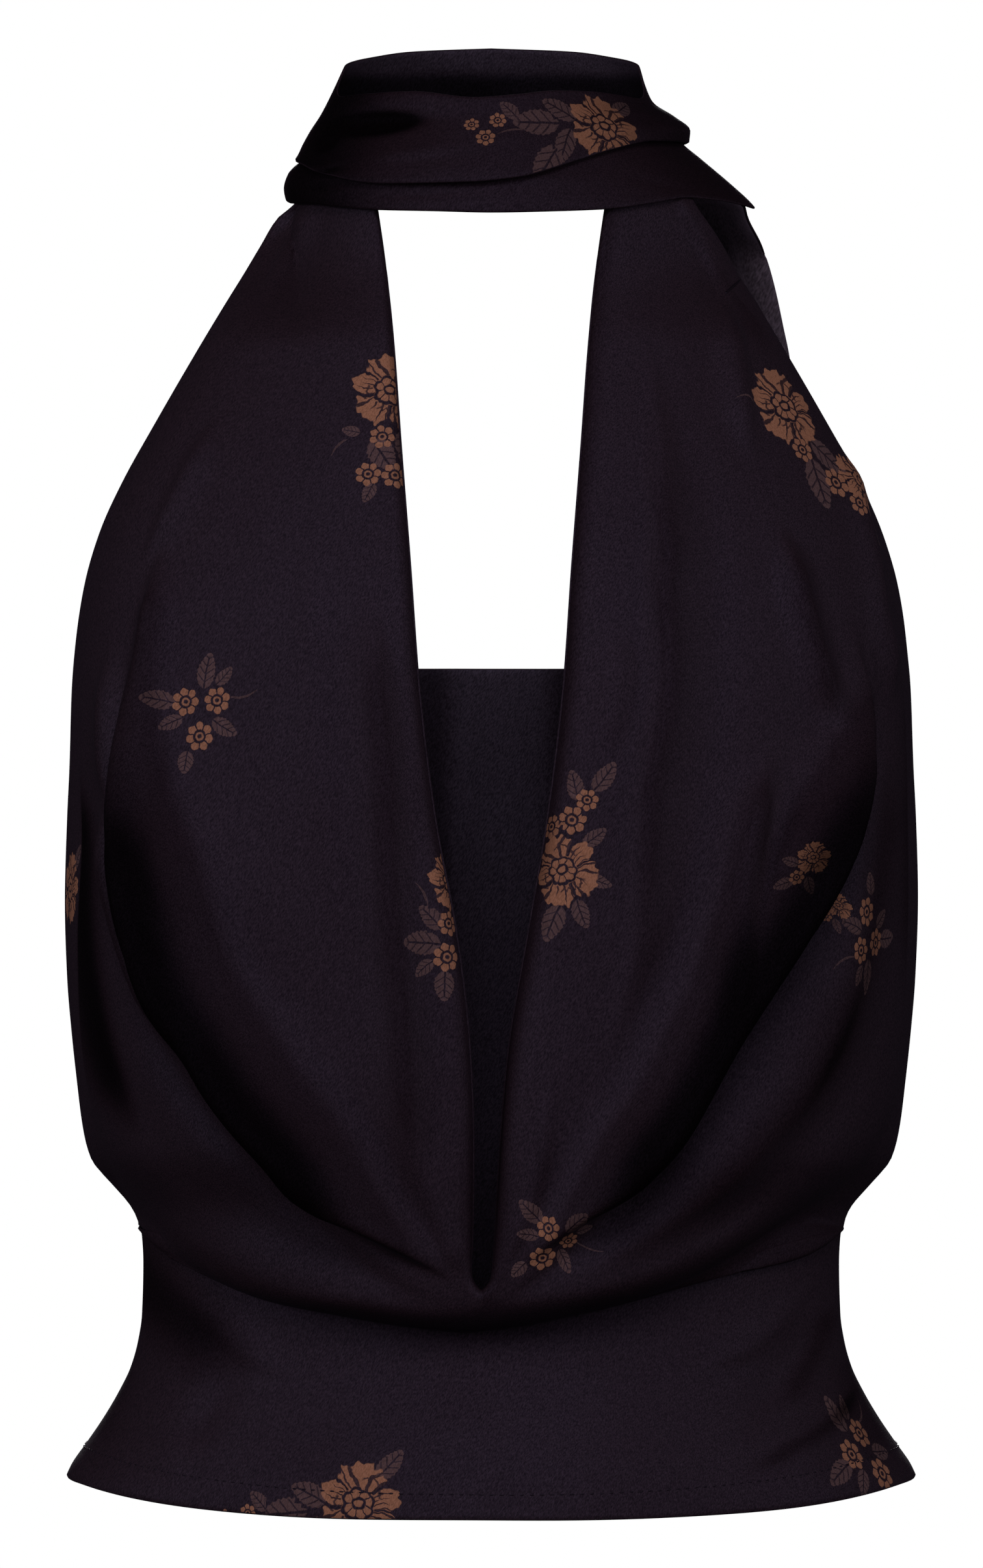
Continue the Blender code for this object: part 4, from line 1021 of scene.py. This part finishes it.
def drawn_leaf(tree):
    """A toothed leaf with a midrib and slanting side veins. A very narrow one is a stem."""
    x, y, _, _ = shape_frame(tree, "leaf", 0.1)
    wide = (1.0 - x * x).made("MAXIMUM", 0.0) ** 0.62 * (0.86 - x * 0.2)
    teeth = ((x * 4.2 - y.size() * 0.6).made("FRACT") - 0.5).size() * 0.2
    filled = (wide - y.size() - teeth).step(0.0, 0.07)
    midrib = y.size().step(0.1, 0.045) * (1.0 - x.step(0.62, 0.85))
    side = ((x * 2.4 - y.size() * 1.35).made("FRACT") - 0.5).size().step(0.15, 0.06)
    side = side * (wide - y.size()).step(0.1, 0.2)
    return filled * (1.0 - midrib.made("MAXIMUM", side * 0.85))


def noise_at(tree, grain, turn, detail=1.5):
    """Noise in the cloth's own place, drawn out to grain, in metres along x, y and z."""
    place = added(tree, "TexCoord").outputs["Object"]
    drawn_out = {"Rotation": [math.radians(a) for a in turn], "Scale": grain, "Vector": place}
    mapping = added(tree, "Mapping", drawn_out, vector_type="TEXTURE")
    noise = added(tree, "TexNoise", {"Scale": 1.0, "Detail": detail, "Vector": mapping.outputs["Vector"]})
    return Term(tree, noise.outputs["Fac"])


def mixed(tree, share, first, second):
    """The first colour turning to the second as share goes from 0 to 1."""
    node = added(tree, "Mix", {"Factor": share}, data_type="RGBA")
    for name, value in (("A", first), ("B", second)):
        place = next(s for s in node.inputs if s.name == name and s.type == "RGBA")
        if isinstance(value, bpy.types.NodeSocket):
            tree.links.new(value, place)
        else:
            place.default_value = (*value, 1.0)
    return next(s for s in node.outputs if s.type == "RGBA")


def shaded(colour, share):
    """The colour made darker or lighter."""
    return tuple(c * share for c in colour)


def cloth_material(name, colour, roughness, grain, relief, sheen, gloss, tint, printed):
    """Woven cloth: threads in its colour, gloss and relief, painted shade in its folds and where it turns from the
    light, and the sprigs where it is printed."""
    material = bpy.data.materials.new(name)
    material.use_nodes = True
    tree = material.node_tree
    threads = noise_at(tree, (grain, grain, grain * 3.2), (0, 24, 0))
    cross = noise_at(tree, (grain * 2.6, grain * 2.6, grain * 0.9), (0, -52, 0))
    broad = noise_at(tree, (0.045, 0.045, 0.07), (0, 10, 0), 2.0)
    ripples = noise_at(tree, (0.011, 0.011, 0.03), (0, 14, 0), 2.0)
    fleck = (threads * 0.65 + cross * 0.35).step(0.3, 0.72)
    # Painted shade: the deep attribute darkens the colour towards HALF_SHADE and black, and dims the gloss
    deep = Term(tree, added(tree, "Attribute", attribute_name="deep").outputs["Fac"])
    lit = 1.0 - deep.step(0.0, 1.0) * DARKEST
    paint = mixed(tree, fleck, shaded(colour, 0.45), shaded(colour, 1.55))
    dullness = roughness - fleck * 0.06 + (broad - 0.5) * 0.1
    height = threads * 0.6 + cross * 0.4
    if printed:
        bloom = drawn_bloom(tree).made("MAXIMUM", drawn_daisy(tree) * 0.94)
        leaf = drawn_leaf(tree)
        yarn = threads.step(0.25, 0.75) * 0.35 + 0.65
        paint = mixed(tree, leaf * yarn, paint, tuple(printed.leaf))
        paint = mixed(tree, bloom * yarn, paint, tuple(printed.bloom))
        figure = bloom.made("MAXIMUM", leaf)
        dullness = dullness + figure * 0.1
        height = height + figure * 0.5
    shadow = mixed(tree, lit.step(0.2, 0.75), (0.0, 0.0, 0.0), HALF_SHADE)
    soft = added(tree, "Bump", {"Strength": 0.25, "Distance": RIPPLE_HEIGHT, "Height": ripples})
    fine = {"Strength": relief, "Distance": THREAD_HEIGHT, "Height": height, "Normal": soft.outputs["Normal"]}
    wired(tree, tree.nodes["Principled BSDF"], {
        "Base Color": mixed(tree, lit, shadow, paint),
        "Roughness": dullness,
        "Normal": added(tree, "Bump", fine).outputs["Normal"],
        "Specular IOR Level": lit * gloss * (fleck * 0.8 + 0.6),
        "Specular Tint": (*tint, 1.0),
        "Sheen Weight": sheen,
        "Sheen Roughness": 0.45,
        "Sheen Tint": (0.75, 0.55, 0.8, 1.0),
    })
    return material


def finish_named(name):
    """One of the garment's finishes, made once from the settings."""
    known = bpy.data.materials.get(name)
    if known:
        return known
    cloth, printed = bpy.context.scene.cowl_top_cloth, None
    colour, roughness, grain, relief, sheen, gloss, tint = FINISHES[name]
    if name == "printed_satin":
        roughness, gloss, printed = cloth.satin_roughness, cloth.satin_gloss, bpy.context.scene.cowl_top_print
    colour = tuple(getattr(cloth, colour))
    return cloth_material(name, colour, roughness, grain, relief, sheen, gloss, tint, printed)


def dressed(name, drape, outward, finishes, closed=False, turned=0):
    """Makes a cloth in place of the solid that it dresses, from its grid and the painted shade at each point of its
    outer and inner side. The last columns, as many as turned says, are turned under and have the outer finish on
    both sides."""
    grid, deep = drape
    wall = bpy.context.scene.cowl_top_cloth.wall / MM
    mesh, outer = cloth_wall("dressed_" + name, grid, outward, wall, closed)
    print_cloth(mesh, outer, places_of(name))
    # Painted shade of each point of the outer and inner side, kept as the cloth's deep attribute
    painted_shade = np.zeros(len(mesh.vertices), np.float32)
    painted_shade[:2 * deep[0].size] = np.stack(deep).reshape(-1)
    mesh.attributes.new("deep", "FLOAT", "POINT").data.foreach_set("value", painted_shade)
    for finish in finishes:
        mesh.materials.append(finish_named(finish))
    if turned:
        side = np.empty(len(mesh.polygons), np.int32)
        mesh.polygons.foreach_get("material_index", side)
        side[outer:2 * outer].reshape(len(grid) - 1, -1)[:, -turned:] = 0
        mesh.polygons.foreach_set("material_index", side)
    cloth = bpy.data.objects.new("dressed_" + name, mesh)
    bpy.context.scene.collection.objects.link(cloth)
    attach(cloth, "root")
    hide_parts(name)
    return cloth


def along(path, outward, spacing):
    """Evenly spaced points along a line of points, with the direction of the line and of the cloth at each."""
    length = running(np.linalg.norm(np.diff(path, axis=0), axis=-1))
    at = np.arange(spacing / 2, length[-1], spacing)
    found = lambda values, where: np.stack([np.interp(where, length, values[:, k]) for k in range(3)], axis=-1)
    points = found(path, at)
    return points, unit(found(path, at + 0.4) - points), unit(found(outward, at))


def one_stitch(length, thread):
    """The points and faces of one stitch: a short thread that dips into the cloth at both ends."""
    bpy.ops.object.select_all(action="DESELECT")
    bpy.ops.mesh.primitive_uv_sphere_add(segments=8, ring_count=6, radius=0.5)
    ball = bpy.context.object
    points = np.array([v.co for v in ball.data.vertices])
    # Sorted, because a sphere's faces come in another order each run
    faces = sorted(tuple(p.vertices) for p in ball.data.polygons)
    mesh = ball.data
    bpy.data.objects.remove(ball)
    bpy.data.meshes.remove(mesh)
    points = np.stack([points[:, 2] * length, points[:, 0] * thread, points[:, 1] * thread], axis=-1)
    points[:, 2] -= STITCH_DIP * thread * (2 * points[:, 0] / length) ** 2
    return points, faces


def stitch_row(rows, length, gap, thread):
    """Stitches along each row, which is a line of points on the cloth and the outward direction at each."""
    stitch, faces = one_stitch(length, thread)
    points, joined, used = [], [], 0
    for path, outward in rows:
        places, ahead, out = along(path, outward, length + gap)
        side = np.cross(out, ahead)
        for place, forward, across, up in zip(places, ahead, side, out):
            frame_of = np.stack([forward, across, up])
            points.append(place + up * STITCH_RISE + stitch @ frame_of)
            joined += [tuple(v + used for v in face) for face in faces]
            used += len(stitch)
    return np.concatenate(points), joined


def level_line(grid, outward, wall, row):
    """The line along a grid at a row, which may lie between two, on the cloth's outer side."""
    low = int(np.clip(math.floor(row), 0, len(grid) - 2))
    share = row - low
    facing = normals(grid) * outward
    line = grid[low] * (1 - share) + grid[low + 1] * share
    out = unit(facing[low] * (1 - share) + facing[low + 1] * share)
    return line + out * wall / 2, out


def on_cloth(tree, places):
    """Points on the front of a cloth seen at each x and drop, with the cloth's outward direction."""
    eye = Vector((0, -EYE_DISTANCE * MM, -EYE_DROP * MM))
    found = []
    for x, drop in places:
        aim = Vector(in_view(x, drop, 0.0) * MM)
        hit, normal, _, _ = tree.ray_cast(eye, (aim - eye).normalized())
        if hit is not None:
            found.append((np.array(hit) / MM, np.array(normal)))
    return np.array([f[0] for f in found]), np.array([f[1] for f in found])


def raised_line(points, outward, wide, high, sides=6):
    """A low rounded ridge along a line on the cloth, as points and faces. Wide is its half width."""
    across = np.cross(outward, unit(np.gradient(points, axis=0)))
    turn = np.linspace(0, 2 * np.pi, sides, endpoint=False)
    taper = np.sin(np.pi * np.linspace(0.06, 0.94, len(points))) ** 0.35
    ring = across[:, None] * (np.cos(turn) * wide)[:, None] + outward[:, None] * (np.sin(turn) * high)[:, None]
    tube = (points[:, None] + ring * taper[:, None, None]).reshape(-1, 3)
    faces = []
    for i in range(len(points) - 1):
        for k in range(sides):
            a, b = i * sides + k, i * sides + (k + 1) % sides
            faces.append((a, b, b + sides, a + sides))
    last = (len(points) - 1) * sides
    faces += [tuple(range(sides))[::-1], tuple(range(last, last + sides))]
    return tube, faces


def sewn_piece(name, points, faces, finish):
    """A piece of sewing from its points in millimetres and its faces."""
    mesh = bpy.data.meshes.new(name)
    mesh.from_pydata((np.asarray(points) * MM).tolist(), [], faces)
    mesh.update()
    mesh.shade_smooth()
    mesh.materials.append(finish_named(finish))
    piece = bpy.data.objects.new(name, mesh)
    bpy.context.scene.collection.objects.link(piece)
    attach(piece, "root")
    return piece


def setting(name, description, default, least=0.0, most=1.0, **kind):
    """A number that the user can change."""
    return bpy.props.FloatProperty(
        name=name, description=description, default=default, min=least, max=most, **kind)


def length_setting(name, description, default, least, most):
    """A length in metres that the user can change."""
    return setting(name, description, default, least, most, unit="LENGTH", subtype="DISTANCE", precision=5)


def power_setting(name, description, default):
    """A lamp's power in watts that the user can change."""
    return setting(name, description, default, most=500, unit="POWER")


def colour_setting(name, description, default):
    """A colour that the user can change."""
    return bpy.props.FloatVectorProperty(
        name=name, description=description, default=default, subtype="COLOR", size=3, min=0, max=1)


class ClothSettings(bpy.types.PropertyGroup):
    """The cloth of the garment."""

    wall: length_setting("Cloth thickness", "Thickness of the satin with its drape", 0.0009, 0.0004, 0.0014)
    satin: colour_setting("Satin", "Colour of the satin's printed face", (0.0128, 0.0043, 0.0048))
    satin_roughness: setting("Satin roughness", "How wide the satin's gloss spreads", 0.77, 0.1)
    satin_gloss: setting("Satin gloss", "Strength of the satin's gloss", 0.42)
    inside: colour_setting("Inside", "Colour of the satin's back", (0.024, 0.0155, 0.0235))
    reverse: colour_setting(
        "Scarf reverse", "Colour of the dull side of the scarf's hanging end", (0.043, 0.029, 0.04))
    thread: colour_setting("Thread", "Colour of the sewing thread", (0.005, 0.0025, 0.004))


class PrintSettings(bpy.types.PropertyGroup):
    """The sprigs of flowers on the cloth."""

    bloom: colour_setting("Flowers", "Colour of the blooms and daisies", (0.34, 0.142, 0.08))
    leaf: colour_setting("Leaves", "Colour of the leaves and stems", (0.1, 0.052, 0.05))


class SewingSettings(bpy.types.PropertyGroup):
    """Stitches and seams."""

    hem: length_setting("Hem depth", "Height of the hem's stitches above its edge", 0.0105, 0.003, 0.03)
    stitch: length_setting("Stitch length", "Length of one stitch", 0.0024, 0.001, 0.006)
    gap: length_setting("Stitch gap", "Space between two stitches", 0.0011, 0.0003, 0.004)
    thread: length_setting("Thread thickness", "Thickness of the sewing thread", 0.00055, 0.0001, 0.001)


class StageSettings(bpy.types.PropertyGroup):
    """The floor, backdrop, lights and camera."""

    distance: length_setting("Camera distance", "How far the camera stands from the side seams", 2.4, 0.5, 10)
    floor: length_setting("Floor level", "Height of the floor", -0.56, -2, 0)
    pale: colour_setting("Backdrop", "Colour of the floor and backdrop", (1.0, 1.0, 1.0))
    key: power_setting("Key light", "Power of the large light in front", 23.0)
    fill: power_setting("Soft lights", "Power of the light at the camera and on each side", 6.0)
    back: power_setting("Back light", "Power of the light behind", 44.0)


class COWLTOP_OT_front(bpy.types.Operator):
    """Drapes the cowl front: the deep V, its swags and the overhang above the waist"""

    bl_idname = "cowltop.front"
    bl_label = "Cowl Front"

    def execute(self, context):
        cloth = dressed("cowl_front", cowl_grid(), -1, SATIN, turned=CREST_TO_SEAM)
        return {"FINISHED"}


class COWLTOP_OT_back(bpy.types.Operator):
    """Makes the low back"""

    bl_idname = "cowltop.back"
    bl_label = "Back"

    def execute(self, context):
        cloth = dressed("back", back_grid(), -1, SATIN)
        return {"FINISHED"}


class COWLTOP_OT_waist(bpy.types.Operator):
    """Makes the fitted waist and its flared hem"""

    bl_idname = "cowltop.waist"
    bl_label = "Waist"

    def execute(self, context):
        cloth = dressed("waist_front", waist_grid(), 1, SATIN)
        return {"FINISHED"}


class COWLTOP_OT_scarf(bpy.types.Operator):
    """Winds the scarf twice round the neck and lets its end fall behind"""

    bl_idname = "cowltop.scarf"
    bl_label = "Scarf"

    def execute(self, context):
        upper = dressed("scarf_upper_turn", turn_grid(UPPER_TURN, UPPER_EDGES, UPPER_DENTS), -1, SATIN, True)
        lower = dressed("scarf_lower_turn", turn_grid(LOWER_TURN, LOWER_EDGES, LOWER_DENTS), -1, SATIN, True)
        tail = dressed("scarf_tail", tail_grid(), 1, ("printed_satin", "scarf_reverse"))
        return {"FINISHED"}


class COWLTOP_OT_sewing(bpy.types.Operator):
    """Sews the hem, the back's top edge and the seam at the strap"""

    bl_idname = "cowltop.sewing"
    bl_label = "Sewing"

    def execute(self, context):
        sewing, wall = context.scene.cowl_top_sewing, context.scene.cowl_top_cloth.wall / MM
        (waist, _), (back, _) = waist_grid(), back_grid()
        hem = sewing.hem / MM
        front_row = WAIST_ROWS - hem / (HEM_SIDE + HEM_FRONT_DIP - WAIST_SEAM) * WAIST_ROWS
        back_row = BACK_ROWS - hem / (HEM_SIDE - BACK_TOP) * BACK_ROWS
        top_row = 0.7 * hem / (HEM_SIDE - BACK_TOP) * BACK_ROWS
        seams = ((waist, 1, front_row), (back, -1, back_row), (back, -1, top_row))
        rows = [level_line(grid, outward, wall, row) for grid, outward, row in seams]
        points, faces = stitch_row(rows, sewing.stitch / MM, sewing.gap / MM, sewing.thread / MM)
        sewn_piece("hem_stitches", points, faces, "sewing_thread")

        front = bpy.data.objects["dressed_cowl_front"].data
        tree = BVHTree.FromPolygons([v.co for v in front.vertices], [p.vertices for p in front.polygons])
        start, end = (np.array(photo_point(*pixel)) for pixel in STRAP_SEAM)
        seam, out = on_cloth(tree, [start + (end - start) * share for share in np.linspace(0, 1, STRAP_POINTS)])
        points, faces = raised_line(seam, out, *STRAP_RIDGE)
        sewn_piece("strap_seam", points, faces, "sewing_thread")
        return {"FINISHED"}


def pale_material(name, colour):
    """A pale surface that glows evenly, and which is clear from behind."""
    material = bpy.data.materials.new(name)
    material.use_nodes = True
    tree = material.node_tree
    tree.nodes.clear()
    glow = added(tree, "Emission", {"Color": (*colour, 1.0)})
    side, clear = added(tree, "NewGeometry").outputs["Backfacing"], added(tree, "BsdfTransparent").outputs[0]
    mix = added(tree, "MixShader", {0: side, 1: glow.outputs[0], 2: clear})
    added(tree, "OutputMaterial", {"Surface": mix.outputs[0]})
    return material


def add_lamps(scene, stage, aim):
    """Hangs the lamps, which all face one point."""
    for name, (place, size, setting_name, share) in LAMPS.items():
        lamp = bpy.data.lights.new(name, "AREA")
        lamp.shape, lamp.size, lamp.energy = "DISK", size, share * getattr(stage, setting_name)
        holder = bpy.data.objects.new(name, lamp)
        scene.collection.objects.link(holder)
        holder.location = place
        holder.rotation_euler = (aim - Vector(place)).to_track_quat("-Z", "Y").to_euler()


def add_camera(scene, stage, level):
    """Sets the camera straight in front, with the photograph's own edges."""
    lens = bpy.data.cameras.new("camera")
    camera = bpy.data.objects.new("camera", lens)
    scene.collection.objects.link(camera)
    scene.camera = camera
    offset = (PHOTO_WIDE / 2 - 0.5 - MIDDLE_PIXEL) * PIXEL * MM
    camera.location = (offset, -stage.distance, level)
    camera.rotation_euler = (math.radians(90), 0, 0)
    lens.sensor_width = SENSOR
    lens.lens = SENSOR * stage.distance / (PHOTO_TALL * PIXEL * MM)
    lens.clip_end = 40


class COWLTOP_OT_stage(bpy.types.Operator):
    """Sets the pale floor and backdrop, the soft lights and the camera"""

    bl_idname = "cowltop.stage"
    bl_label = "Stage"

    def execute(self, context):
        scene, stage = context.scene, context.scene.cowl_top_stage
        bpy.ops.object.select_all(action="DESELECT")
        bpy.ops.mesh.primitive_circle_add(
            vertices=96, radius=FLOOR_RADIUS, fill_type="NGON", location=(0, 0, stage.floor))
        floor = context.object
        floor.name = "floor"
        bpy.ops.mesh.primitive_uv_sphere_add(segments=48, ring_count=24, radius=BACKDROP_RADIUS)
        backdrop = context.object
        backdrop.name = "backdrop"
        backdrop.data.flip_normals()
        for piece in (floor, backdrop):
            piece.data.materials.append(pale_material(piece.name, tuple(stage.pale)))
            piece.visible_diffuse = piece.visible_glossy = piece.visible_shadow = False

        world = bpy.data.worlds.new("room")
        scene.world = world
        world.use_nodes = True
        wired(world.node_tree, world.node_tree.nodes["Background"], {"Color": ROOM_COLOUR, "Strength": ROOM_STRENGTH})
        add_lamps(scene, stage, Vector((0, 0, -EYE_DROP * MM)))
        add_camera(scene, stage, -EYE_DROP * MM)
        scene.view_settings.view_transform = "Standard"
        return {"FINISHED"}


class COWLTOP_PT_panel(bpy.types.Panel):
    """Lists the garment's pieces and its sizes and colours"""

    bl_idname = "COWLTOP_PT_panel"
    bl_label = "Cowl Neck Top"
    bl_space_type = "VIEW_3D"
    bl_region_type = "UI"
    bl_category = "Cowl Top"

    def draw(self, context):
        for group in SETTINGS:
            box = self.layout.box()
            for name in SETTINGS[group].__annotations__:
                box.prop(getattr(context.scene, group), name)
        for step in STEPS:
            self.layout.operator(step.bl_idname)


SETTINGS = {
    "cowl_top_cloth": ClothSettings,
    "cowl_top_print": PrintSettings,
    "cowl_top_sewing": SewingSettings,
    "cowl_top_stage": StageSettings,
}
STEPS = (COWLTOP_OT_front, COWLTOP_OT_back, COWLTOP_OT_waist, COWLTOP_OT_scarf, COWLTOP_OT_sewing, COWLTOP_OT_stage)


CLASSES = (*SETTINGS.values(), *STEPS, COWLTOP_PT_panel)


def register():
    for kind in CLASSES:
        bpy.utils.register_class(kind)
    for group, kind in SETTINGS.items():
        setattr(bpy.types.Scene, group, bpy.props.PointerProperty(type=kind))


def unregister():
    for group in SETTINGS:
        delattr(bpy.types.Scene, group)
    for kind in reversed(CLASSES):
        bpy.utils.unregister_class(kind)


def main():
    register()
    bpy.ops.cowltop.front()
    bpy.ops.cowltop.back()
    bpy.ops.cowltop.waist()
    bpy.ops.cowltop.scarf()
    bpy.ops.cowltop.sewing()
    bpy.ops.cowltop.stage()


if __name__ == "__main__":
    main()
